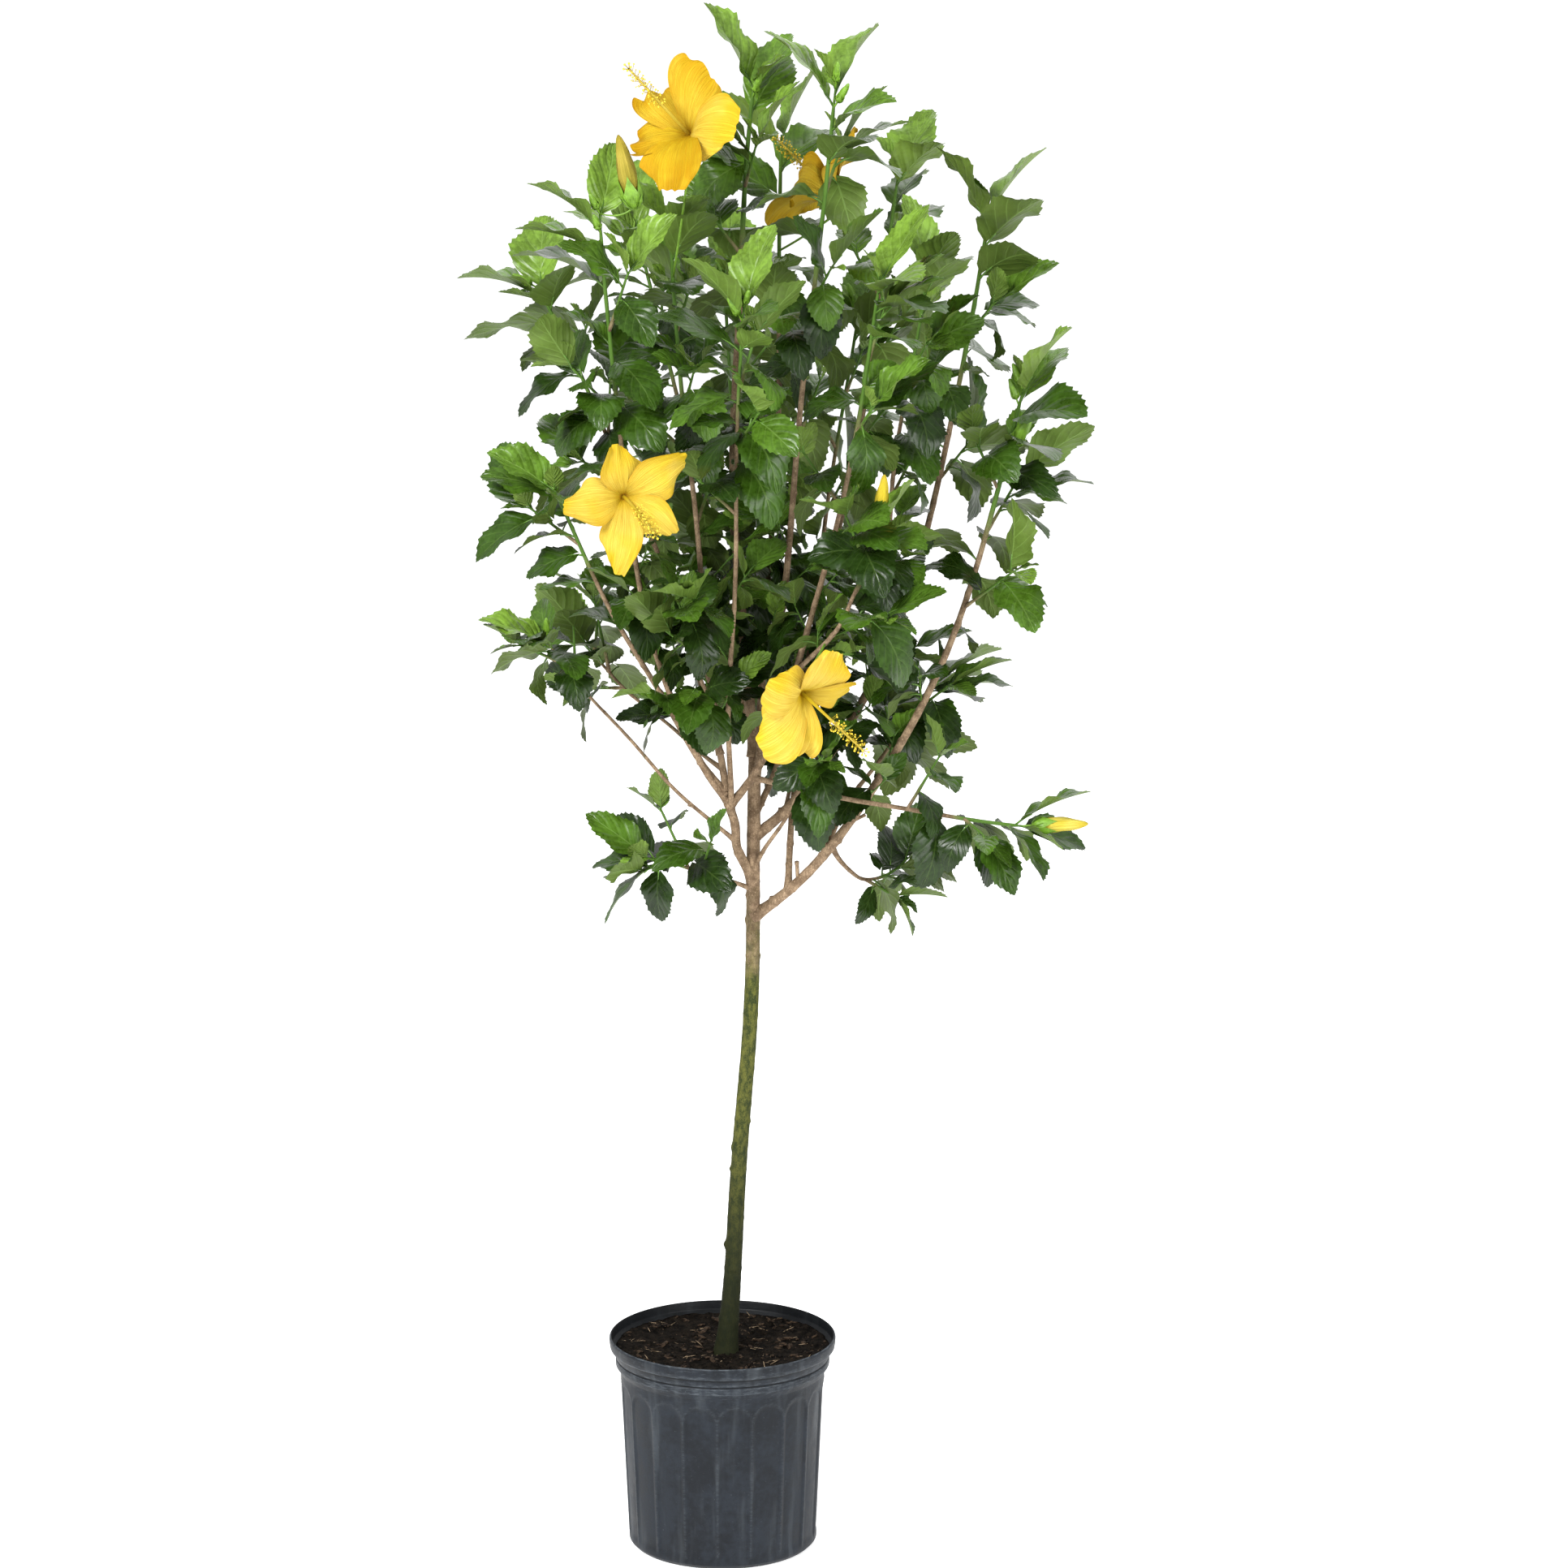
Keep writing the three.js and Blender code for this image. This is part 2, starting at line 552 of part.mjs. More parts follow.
// An open bloom: one flower of five broad petals that part near the throat, and a straight stalk that comes
// out of the throat as the long column.
function bloomSolids(bloom) {
  const outline = [];
  for (let i = 0; i < BLOOM.petals * BLOOM.rim.length; i += 1) {
    const petal = Math.floor(i / BLOOM.rim.length);
    const [reach, aside, rise] = BLOOM.rim[i % BLOOM.rim.length];
    const turn = radians(bloom.roll + (360 * (petal + aside)) / BLOOM.petals);
    const out = radialOf(bloom.facing, UP, turn);
    const point = bloom.throat.clone().addScaledVector(out, reach * BLOOM.length);
    outline.push(point.addScaledVector(bloom.facing, rise * BLOOM.length));
  }
  const end = bloom.throat.clone().addScaledVector(bloom.facing, BLOOM.column);
  const columnFoot = bloom.throat.clone().addScaledVector(bloom.facing, -BLOOM.thickness / 2);
  const straight = (from, to) => new Stem(from, from.clone().lerp(to, 0.5), to);
  return [
    bladeSolid(bloom.throat, outline, bloom.facing, BLOOM.thickness),
    limbSolid(straight(columnFoot, end), 0, 1, () => BLOOM.columnRadius, 3, 1),
    limbSolid(straight(bloom.root, bloom.throat), 0, 1, () => BLOOM.stalkRadius, 3, 1),
  ];
}

// A closed bud: a pointed spindle whose foot is sunk in the leader.
function budSolid(bud, limb) {
  const root = limb.stem.getPoint(mix([limb.bare, 1], bud.at));
  const along = vector(bud.along).normalize();
  const tip = root.clone().addScaledVector(along, bud.length);
  const stem = new Stem(root, root.clone().lerp(tip, 0.5), tip);
  const swell = (t) => {
    const inBud = Math.max(0, (t - BUD.stalk) / (1 - BUD.stalk));
    return mix([BUD.stalkRadius, bud.radius], Math.sin(Math.PI * inBud));
  };
  return limbSolid(stem, 0, 1, swell, BUD.sides, BUD.steps);
}

function massSolid(limb, spaces) {
  const { shoots, leaves } = growFoliage(limb, spaces);
  const leaderGap = CLEARANCE / limb.stem.getLength();
  const leaderSteps = stepsFor((1 - limb.bare) * limb.stem.getLength(), LEADER.step);
  const leader = limbSolid(limb.stem, limb.bare + leaderGap, 1, limb.radiusAt, LEADER.sides, leaderSteps);
  const shootRadius = (t) => mix(SHOOT.radius, t);
  const pieces = [
    leader,
    ...shoots.map((stem) => limbSolid(stem, 0, 1, shootRadius, SHOOT.sides, 1)),
    ...leaves.map(leafSolid),
    ...spaces.blooms.filter((bloom) => bloom.mass === limb.name).flatMap(bloomSolids),
    ...BUDS.filter((bud) => bud.mass === limb.name).map((bud) => budSolid(bud, limb)),
  ];
  return oneBody(wasm.Manifold.union(pieces));
}

// A bough from its parent's side to where its leaves begin, cut clear of the limbs that grew before it.
function boughSolid(limb, earlier) {
  const steps = stepsFor(limb.bare * limb.stem.getLength(), LIMB.step);
  const whole = limbSolid(limb.stem, 0, limb.bare, limb.radiusAt, LIMB.sides, steps);
  const cut = earlier.reduce((rest, wood) => rest.subtract(wood), whole);
  return oneBody(cut);
}

// The same stretch of limb, thicker and longer by the clearance, for cutting its neighbours.
function clearanceSolid(limb, sides, steps) {
  const extra = CLEARANCE / Math.cos(Math.PI / sides);
  const past = CLEARANCE / limb.stem.getLength();
  const end = Math.min(1, limb.bare + past);
  return limbSolid(limb.stem, 0, end, (t) => limb.radiusAt(t) + extra, sides, steps);
}

// The heights at which the pot's outside changes, from the top down
function potLevels() {
  const lipFoot = POT.height - POT.lipHeight;
  const neckFoot = lipFoot - POT.neckHeight;
  const beadFoot = neckFoot - POT.beadHeight;
  return { lipFoot, neckFoot, beadFoot, shoulder: beadFoot - POT.shoulderDrop };
}

function potMesh() {
  const { height, rimRadius, neckRadius, beadRadius, shoulderRadius, baseRadius, rimBevel, wall } = POT;
  const { lipFoot, neckFoot, beadFoot, shoulder } = potLevels();
  const outside = [
    [0, 0],
    [baseRadius - POT.baseBevel, 0],
    [baseRadius, POT.baseBevel],
    [shoulderRadius, shoulder],
    [beadRadius, beadFoot],
    [beadRadius, neckFoot],
    [neckRadius, neckFoot],
    [neckRadius, lipFoot],
    [rimRadius, lipFoot],
    [rimRadius, height - rimBevel],
    [rimRadius - rimBevel, height],
  ];
  const inside = [
    [rimRadius - wall, height],
    [neckRadius - wall, lipFoot - wall],
    [shoulderRadius - wall, shoulder - wall],
    [baseRadius - wall, POT.floor],
    [0, POT.floor],
  ];
  const profile = [...outside, ...inside].map(([radius, z]) => new THREE.Vector2(radius, z));
  const geometry = new THREE.LatheGeometry(profile, POT.sides).rotateX(Math.PI / 2);
  const mesh = new THREE.Mesh(geometry, POT_PLASTIC);
  mesh.name = "pot";
  return mesh;
}

function soilMesh() {
  const insideTop = potLevels().shoulder - POT.wall;
  const outsideRadii = [POT.baseRadius, POT.shoulderRadius];
  const wallAt = (z) => mix(outsideRadii, (z - POT.floor) / (insideTop - POT.floor)) - POT.wall;
  const foot = POT.floor + CLEARANCE;
  const top = insideTop - CLEARANCE;
  const ledge = potLevels().lipFoot - POT.wall;
  const edge = SOIL.level + SOIL.edgeRise;
  const lipWallAt = (z) => mix([POT.neckRadius, POT.rimRadius], (z - ledge) / (POT.height - ledge)) - POT.wall;
  // The soil has as many sides as the pot, so its corners and its flats keep the same clearance.
  const profile = [
    [0, foot],
    [wallAt(foot) - CLEARANCE, foot],
    [wallAt(top) - CLEARANCE, top],
    [POT.neckRadius - POT.wall - CLEARANCE, ledge],
    [lipWallAt(edge) - CLEARANCE, edge],
    [SOIL.flatRadius, SOIL.level],
    [0, SOIL.level],
  ].map(([radius, z]) => new THREE.Vector2(radius, z));
  const geometry = new THREE.LatheGeometry(profile, POT.sides).rotateX(Math.PI / 2);
  const mesh = new THREE.Mesh(geometry, POTTING_SOIL);
  mesh.name = "potting_soil";
  return mesh;
}

function namedMesh(made, name, material) {
  const { numProp, vertProperties, triVerts } = made.getMesh();
  const geometry = new THREE.BufferGeometry();
  geometry.setAttribute("position", new THREE.BufferAttribute(vertProperties, numProp));
  geometry.setIndex(new THREE.BufferAttribute(triVerts, 1));
  geometry.computeVertexNormals();
  const mesh = new THREE.Mesh(geometry, material);
  mesh.name = name;
  return mesh;
}

function hibiscus() {
  const plant = new THREE.Group();
  plant.add(potMesh(), soilMesh());
  const stems = plantStems();
  const spaces = spacesOf(stems);
  const trunk = stems.get("trunk");
  const wholeTrunk = limbSolid(trunk.stem, 0, 1, trunk.radiusAt, TRUNK.sides, TRUNK.steps);
  const belowCut = new THREE.BoxGeometry(POT.height, POT.height, POT.height);
  belowCut.translate(0, 0, TRUNK.cutHeight - POT.height / 2);
  plant.add(namedMesh(oneBody(wholeTrunk.subtract(solid(belowCut))), "trunk", TRUNK_BARK));
  const grown = [clearanceSolid(trunk, TRUNK.sides, TRUNK.steps)];
  for (const limb of stems.values()) {
    if (limb.name === "trunk") continue;
    plant.add(namedMesh(boughSolid(limb, grown), `bough_${limb.name}`, BARK));
    const steps = stepsFor(limb.bare * limb.stem.getLength(), LIMB.step);
    grown.push(clearanceSolid(limb, LIMB.sides, steps));
    if (limb.bare < 1) plant.add(namedMesh(massSolid(limb, spaces), `foliage_${limb.name}`, LEAVES));
  }
  return plant;
}

export default hibiscus();
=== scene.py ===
"""Looks for a yellow-flowered hibiscus, trained as a small standard tree in a nursery pot.

The plant grows by one seeded rule, in millimetres, and is laid out as meshes in metres. Each kind of thing
is one joined piece: bark, shoots, twigs, leaf stalks, leaves by tone, petals, columns, anthers, calyces and
buds by colour.
"""

import functools
import json
import math
from types import SimpleNamespace
from typing import NamedTuple

import bmesh
import bpy
import numpy as np
from mathutils import Matrix, Vector, noise

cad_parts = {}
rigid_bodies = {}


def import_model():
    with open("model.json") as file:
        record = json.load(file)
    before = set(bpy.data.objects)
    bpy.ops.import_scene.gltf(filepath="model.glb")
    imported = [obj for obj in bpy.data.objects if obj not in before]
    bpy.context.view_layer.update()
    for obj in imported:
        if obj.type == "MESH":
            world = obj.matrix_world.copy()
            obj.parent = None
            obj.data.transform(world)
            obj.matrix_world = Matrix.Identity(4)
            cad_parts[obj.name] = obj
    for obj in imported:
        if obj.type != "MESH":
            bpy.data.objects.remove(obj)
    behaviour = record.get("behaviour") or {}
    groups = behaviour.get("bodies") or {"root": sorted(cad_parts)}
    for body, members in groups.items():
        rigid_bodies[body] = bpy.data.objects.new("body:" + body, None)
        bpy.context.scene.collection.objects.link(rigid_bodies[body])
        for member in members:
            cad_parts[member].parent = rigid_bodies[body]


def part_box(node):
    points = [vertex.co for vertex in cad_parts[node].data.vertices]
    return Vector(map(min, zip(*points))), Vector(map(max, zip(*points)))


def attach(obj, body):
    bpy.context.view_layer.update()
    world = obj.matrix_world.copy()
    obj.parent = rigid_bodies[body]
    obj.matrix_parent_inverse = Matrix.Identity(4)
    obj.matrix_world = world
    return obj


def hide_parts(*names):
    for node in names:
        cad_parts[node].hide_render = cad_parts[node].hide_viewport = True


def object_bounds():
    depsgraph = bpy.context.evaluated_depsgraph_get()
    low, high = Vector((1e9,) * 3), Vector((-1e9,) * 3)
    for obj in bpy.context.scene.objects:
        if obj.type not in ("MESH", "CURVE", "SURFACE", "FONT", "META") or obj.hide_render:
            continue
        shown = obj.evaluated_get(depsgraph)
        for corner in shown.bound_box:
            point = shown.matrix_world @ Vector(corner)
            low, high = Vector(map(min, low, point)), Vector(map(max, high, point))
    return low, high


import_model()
CAD_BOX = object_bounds()
POT_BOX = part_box("pot")

bl_info = {
    "name": "Potted Hibiscus Tree",
    "version": (1, 0, 0),
    "blender": (4, 5, 0),
    "location": "3D View > Sidebar > Hibiscus",
    "description": "Grows a flowering hibiscus standard in a nursery pot",
    "category": "Object",
}

MM = 0.001
UP = np.array([0.0, 0.0, 1.0])
GOLDEN_TURN = math.radians(137.5)
SEED = 101


class Limb(NamedTuple):
    """One limb: where it leaves its parent, its curve, and the mass of leaves that it carries."""

    name: str
    parent: str
    at: float
    bend: tuple
    tip: tuple
    radius: tuple
    bare: float
    reach: float = 0
    shoots: int = 0
    leaves: int = 0
    leaf: float = 0
    sow: int = 0


TRUNK = SimpleNamespace(
    foot=(1, 0, 200),
    bend=(34, 0, 520),
    tip=(37, 0, 905),
    cut_height=222.3,
    foot_radius=10,
    tip_radius=7,
    flare=4,
    flare_height=34,
    sway=2.5,
)
LIMBS = [Limb(*row) for row in (
    ("left_fork", "trunk", 0.81, (12, -22, 820), (6, -34, 874), (5.2, 4.6), 1),
    ("left_low", "left_fork", 0.96, (-73, -75, 976), (-176, -100, 1217), (3.8, 1.8), 0.58, 118, 4, 4, 80),
    ("left_front", "left_fork", 0.9, (-97, -100, 981), (-125, -120, 1514), (4.0, 1.9), 0.56, 120, 4, 4, 86),
    ("centre_left", "left_fork", 1, (-24, -42, 1058), (-53, -40, 1495), (3.9, 1.9), 0.52, 105, 4, 4, 80),
    ("left_outer", "centre_left", 0.1, (-61, 25, 1146), (-197, 35, 1415), (3.3, 1.8), 0.52, 118, 3, 4, 84),
    ("centre", "trunk", 1, (-5, 10, 1268), (37, 15, 1637), (6.0, 2.0), 0.52, 105, 4, 4, 88),
    ("back_left", "trunk", 0.985, (7, 80, 1095), (-94, 160, 1461), (3.4, 1.8), 0.52, 120, 3, 4, 84),
    ("back", "trunk", 0.95, (19, 160, 1030), (2, 245, 1399), (3.4, 1.8), 0.54, 120, 3, 4, 84),
    ("centre_back", "trunk", 0.97, (62, 80, 1106), (66, 125, 1572), (4.2, 1.9), 0.54, 105, 4, 4, 84),
    ("centre_front", "trunk", 0.94, (72, -75, 1104), (123, -90, 1643), (4.6, 2.0), 0.56, 110, 4, 4, 88),
    ("right_back", "trunk", 0.91, (121, 90, 982), (195, 130, 1536), (3.8, 1.8), 0.56, 110, 4, 4, 84),
    ("right_upper", "trunk", 0.88, (215, 20, 931), (291, 35, 1501), (6.0, 2.0), 0.6, 110, 4, 4, 88),
    ("right_inner", "right_upper", 0.42, (177, -70, 1192), (223, -62, 1448), (3.0, 1.7), 0.42, 105, 3, 4, 80),
    ("right_outer", "trunk", 0.76, (229, -45, 860), (324, -75, 1321), (6.2, 2.1), 0.6, 125, 4, 4, 90),
    ("back_right", "right_outer", 0.1, (85, 110, 963), (153, 245, 1362), (3.8, 1.7), 0.58, 120, 4, 4, 84, 1),
    ("front_right", "left_fork", 0.82, (104, -110, 973), (169, -190, 1454), (4.6, 1.8), 0.6, 115, 4, 4, 86),
    ("front", "left_fork", 0.74, (7, -150, 1030), (27, -220, 1429), (3.2, 1.7), 0.64, 105, 3, 4, 80),
    ("inner_right", "front_right", 0.42, (148, -175, 1093), (168, -210, 1187),
     (2.7, 1.7), 0.4, 100, 3, 4, 88),
    ("inner_front", "front", 0.25, (-23, -120, 1014), (-42, -165, 1106), (2.5, 1.5), 0.4, 100, 3, 4, 80),
    ("low_right_front", "front_right", 0.13, (188, -98, 864), (325, -110, 851),
     (3.0, 1.9), 0.5, 100, 2, 3, 74, 1),
    ("low_right_back", "right_outer", 0.24, (151, 45, 724), (207, 75, 772), (2.6, 1.4), 0.42, 85, 2, 3, 62),
    ("low_right_middle", "right_outer", 0.2, (150, 20, 876), (236, 50, 975),
     (3.0, 1.6), 0.48, 105, 3, 4, 88, 1),
    ("low_front", "trunk", 0.83, (75, -50, 861), (124, -95, 945), (2.4, 1.5), 0.42, 95, 2, 4, 72),
    ("low_back", "trunk", 0.86, (39, 110, 856), (60, 200, 991), (2.8, 1.6), 0.45, 120, 3, 4, 74),
    ("low_left_long", "left_fork", 0.45, (-93, -60, 913), (-185, -80, 1046), (2.3, 1.4), 0.82, 80, 2, 3, 70),
    ("low_left_back", "centre_left", 0.06, (-81, 30, 944), (-163, 85, 1024), (2.3, 1.4), 0.6, 110, 3, 3, 70),
    ("low_left_small", "trunk", 0.8, (-20, -28, 782), (-81, -52, 802), (2.4, 1.5), 0.4, 95, 3, 3, 72),
)]
FOLIAGE = [f"foliage_{limb.name}" for limb in LIMBS if limb.bare < 1]
LIMB = SimpleNamespace(sway=3, sway_turns=1.5)
SHOOT = SimpleNamespace(
    sides=3,
    radius=(2.0, 1.1),
    length=0.62,
    stray_length=(0.7, 1.2),
    top_length=0.65,
    rise=0.3,
    spread=(62, 38),
    places=(0.06, 0.88),
    stray_place=0.4,
    leaf_places=(0.95, 0.35),
)
LEADER = SimpleNamespace(sides=3, more_leaves=4, leaf_places=(0.985, 0.365), crowding=1.6)
LEAF = SimpleNamespace(
    stalk=0.26,
    widest=0.42,
    half_width=0.41,
    spread=(34, 78),
    droop=(0.05, 0.75),
    fold=(26, 10),
    curl=(8, 34),
    roll=34,
    face_along_stem=0.8,
    stray_degrees=20,
    stray_droop=(0.6, 1.4),
    stray_curl=(0.5, 1.5),
    shoot_sizes=(0.75, 1),
    leader_sizes=(0.85, 1.05),
    lowest=0.8,
)
# What keeps leaves and stems apart: gaps, and the stretches and widths in which limbs are measured
ROOM = SimpleNamespace(
    limb=3.5,
    mass=1.2,
    tries=8,
    shrink=0.95,
    stray_on_flat=0.24,
    bough_steps=12,
    leader_steps=8,
    thick_at=0.3,
    bloom_stalk=2,
)
# Finer growth: small leaves at the tips and along the leaders, and twigs with leaves on some boughs below
# their leaders, which fill the middle of the plant
FINE = SimpleNamespace(
    sow=7001,
    tip_leaves=2,
    tip_leaf=(24, 46),
    tip_place=0.999,
    tip_step=0.012,
    tip_tries=4,
    leader_leaves=3,
    leader_places=(0.04, 0.96),
    leader_tries=6,
    leaf=(32, 60),
    twig_length=(22, 58),
    twig_rise=0.35,
    twig_spread=(58, 34),
    twig_radius=(1.1, 0.7),
    twig_leaves=4,
    twig_leaf_places=(0.97, 0.3),
    twig_tries=5,
    bough_from=0.34,
    room_ahead=110,
    bloom_room=76,
    box_margin=1.0,
)
BOUGH_TWIGS = {
    "centre": 14, "centre_left": 13, "centre_back": 12, "centre_front": 6, "back_left": 9, "back": 7,
    "right_back": 12, "right_upper": 10, "right_inner": 6, "right_outer": 7, "back_right": 8, "left_front": 6,
    "left_low": 4, "left_outer": 6, "front_right": 4, "front": 2, "inner_right": 3, "inner_front": 3,
}


class Petal(NamedTuple):
    """One petal: its turn, its length and width as shares, how it opens, and how far it goes over to deep gold,
    which between one bloom's petals is partly painted shade.
    """

    turn: float
    length: float
    width: float
    opening: float
    twist: float
    golden: float = 0


def even_petals(roll, *shape):
    """Five petals of one shape, evenly spread."""
    return [Petal(roll + 72 * i, *shape) for i in range(5)]


BLOOMS = [
    SimpleNamespace(
        mass="left_front", at=0.1, middle=(-98, -213, 1228), facing=(0.25, -0.9, -0.3),
        axis=(0.15, -0.97, 0.1), stalk=("left_front", 0.6),
        ruffle=2.6, taper=0.42, column=88, column_lean=(0.26, 0.1, -0.42),
        petals=[
            Petal(97, 0.92, 0.46, 92, 0.15, 0.1),
            Petal(30, 1.16, 0.38, 104, 0.8, 0.0),
            Petal(183, 1.06, 0.42, 100, 0.35, 0.15),
            Petal(258, 1.24, 0.31, 106, 0.7, 0.0),
            Petal(319, 0.98, 0.40, 108, 0.3, 0.05),
        ],
    ),
    SimpleNamespace(
        mass="centre_left", at=0.86, middle=(-33, -127, 1601), facing=(-0.52, -0.74, 0.42),
        axis=(-0.36, -0.8, 0.48), stalk=("centre_left", 0.93),
        ruffle=4.2, taper=0.0, column=104, column_lean=(-0.24, 0.4, 0.22),
        # The top bloom's petals differ in deep gold partly as painted light: least on the lit petal to the
        # right, most on the shaded petals below and to the left.
        petals=[
            Petal(66, 0.98, 0.46, 108, 0.9, 0.7),
            Petal(350, 1.1, 0.50, 96, 0.1, 0.2),
            Petal(274, 1.26, 0.46, 100, 0.15, 1.0),
            Petal(194, 0.86, 0.52, 116, 0.2, 0.95),
            Petal(130, 0.86, 0.54, 114, 0.2, 0.75),
        ],
    ),
    SimpleNamespace(
        mass="inner_front", at=0.3, middle=(91, -219, 1017), facing=(0.7, -0.42, -0.56),
        axis=(0.45, -0.86, -0.25), stalk=("inner_right", 0.25),
        ruffle=3.6, taper=0.0, column=104, column_lean=(0.17, 0.23, -0.22),
        petals=[
            Petal(74, 1.04, 0.46, 90, 0.1, 0.0),
            Petal(152, 0.92, 0.48, 112, 0.2, 0.1),
            Petal(212, 1.14, 0.42, 108, 0.25, 0.0),
            Petal(254, 0.92, 0.36, 112, 0.35, 0.1),
            Petal(4, 0.8, 0.34, 120, 0.4, 0.2),
        ],
    ),
    SimpleNamespace(
        mass="centre_back", at=0.7, middle=(122, 60, 1512), facing=(-0.62, 0.3, 0.6),
        axis=(-0.62, 0.3, 0.6), stalk=("centre_back", 0.86),
        ruffle=4.0, taper=0.0, column=96, column_lean=(0, 0, 0),
        petals=even_petals(5, 1.12, 0.42, 104, 0.2, 0.7),
    ),
]
BLOOM = SimpleNamespace(
    length=76,
    throat_depth=0.12,
    room=62,
    room_ahead=0.2,
    foot=9,
    stalk_radius=1.3,
    stalk_sag=4,
    column_radius=(2.0, 1.1),
    column_root=4,
    stamens=64,
    stamen_places=(0.56, 0.97),
    stamen_lean=(0.1, 0.8),
    filament=(5.0, 9.5),
    filament_radius=0.28,
    anther_radius=1.15,
    anther_sizes=(0.8, 1.2),
    anther_stretch=0.75,
    stigmas=5,
    stigma_length=7,
    stigma_lean=0.75,
    stigma_radius=1.5,
)
# A petal's form: how its midline opens, its outline, and what lifts it off a plain curved blade
PETAL = SimpleNamespace(
    grid=(25, 18),
    midline_steps=40,
    throat_opening=34,
    claw=0.13,
    rim_round=0.2,
    rim_slant=0.1,
    notches=(0.028, 0.018),
    narrowing=0.3,
    sweep=0.1,
    waves=(2.4, 3.6),
    rim_waves=0.5,
    cup=0.22,
    overlap=5.5,
    midrib_depth=1.1,
    midrib_width=0.12,
    pleats=17,
    pleat_depth=0.75,
)
# A calyx's lobes and the bracts round it, with its size as shares of a bloom's length
CALYX = SimpleNamespace(lobes=5, length=0.27, radius=0.085, bloom_spread=0.75, bud_spread=0.25, bracts=7)
BUDS = [
    SimpleNamespace(
        mass="low_right_front", at=1, stalk=(13, -1, 1), along=(0.98, -0.05, 0.04), length=59, radius=9,
        colour="yellow",
    ),
    SimpleNamespace(
        mass="inner_right", at=0.95, stalk=(1.5, -1.5, 15), along=(0.1, -0.1, 1),
        length=56, radius=8, colour="yellow",
    ),
    SimpleNamespace(
        mass="right_outer", at=0.8, stalk=(7, -4, 12), along=(0.5, -0.3, 0.9),
        length=38, radius=8, colour="green",
    ),
    SimpleNamespace(
        mass="left_front", at=1, stalk=(37, 0, 7), along=(-0.22, -0.05, 1),
        length=78, radius=11, colour="orange",
    ),
    SimpleNamespace(
        mass="right_back", at=0.35, stalk=(2, -5, -16), along=(0.1, -0.3, -1),
        length=42, radius=7, colour="olive",
    ),
]
# Small green buds stand at the tips of these limbs.
SMALL_BUDS = SimpleNamespace(
    limbs=("left_low", "left_front", "left_outer", "centre", "centre_front", "right_upper", "right_inner",
           "right_outer", "low_left_small", "low_left_long", "front", "back", "back_right"),
    each=2, length=(26, 38), radius=4.2, spread=34, stalk=0.28,
)

# Short cut stubs where boughs were pruned: limb, share of its length, turn round it, length, radius
STUBS = [
    ("right_outer", 0.13, 200, 20, 2.2),
    ("right_outer", 0.22, 160, 26, 2.3),
    ("right_outer", 0.3, 20, 15, 1.9),
    ("right_upper", 0.1, 110, 22, 2.3),
    ("low_right_middle", 0.2, 230, 16, 1.6),
    ("front_right", 0.2, 250, 20, 1.8),
    ("left_front", 0.16, 70, 14, 1.7),
    ("low_left_long", 0.2, 250, 12, 1.3),
    ("centre", 0.06, 100, 18, 2.3),
]


def mix(pair, share):
    return pair[0] + (pair[1] - pair[0]) * share


def unit(way):
    return way / np.linalg.norm(way, axis=-1, keepdims=True)


def smooth(low, high, value):
    """0 below low, 1 above high, and a smooth rise between."""
    share = np.clip((value - low) / (high - low), 0, 1)
    return share * share * (3 - 2 * share)


def bell(off, width):
    """1 where off is 0, falling to nothing on both sides over a width or two."""
    return np.exp(-((off / width) ** 2))


def seeded(seed):
    """A run of numbers from 0 to 1 that is the same each time for one seed."""
    state = seed % 2**32

    def draw():
        nonlocal state
        state = (state * 1664525 + 1013904223) % 2**32
        return state / 2**32

    for _ in range(4):
        draw()
    return draw


class Stem:
    """A limb's centre line: a curve pulled towards one point, with a slow sway that dies out at both ends."""

    def __init__(self, start, bend, tip, sway=0.0, phase=0.0):
        self.start, self.bend, self.tip = (np.array(point, float) for point in (start, bend, tip))
        self.sway = sway
        self.phase = phase

    def point(self, t):
        t = np.asarray(t, float)
        share = t[..., None]
        line = (1 - share) ** 2 * self.start + 2 * share * (1 - share) * self.bend + share**2 * self.tip
        swing = self.sway * np.sin(np.pi * t)
        turn = self.phase + LIMB.sway_turns * 2 * np.pi * t
        line[..., 0] += swing * np.cos(turn)
        line[..., 1] += swing * np.sin(turn)
        return line

    def along(self, t):
        step = 0.01
        t = np.asarray(t, float)
        return unit(self.point(np.minimum(1, t + step)) - self.point(np.maximum(0, t - step)))

    def run(self, start, end, steps):
        return self.point(np.linspace(start, end, steps + 1))

    @functools.cached_property
    def length(self):
        return float(np.linalg.norm(np.diff(self.run(0, 1, 200), axis=0), axis=1).sum())


def straight(start, tip):
    return Stem(start, (np.array(start) + np.array(tip)) / 2, tip)


def radial_of(axis, reference, turn):
    """A direction square to an axis, turned round it from the side that a reference direction fixes."""
    side = unit(np.cross(reference, axis))
    other = np.cross(axis, side)
    turn = np.asarray(turn, float)[..., None]
    return side * np.cos(turn) + other * np.sin(turn)


def reference_for(stem, start, end):
    chord = stem.point(end) - stem.point(start)
    level = abs(chord[1]) < 0.7 * np.linalg.norm(chord)
    return np.array([0.0, 1.0, 0.0]) if level else UP


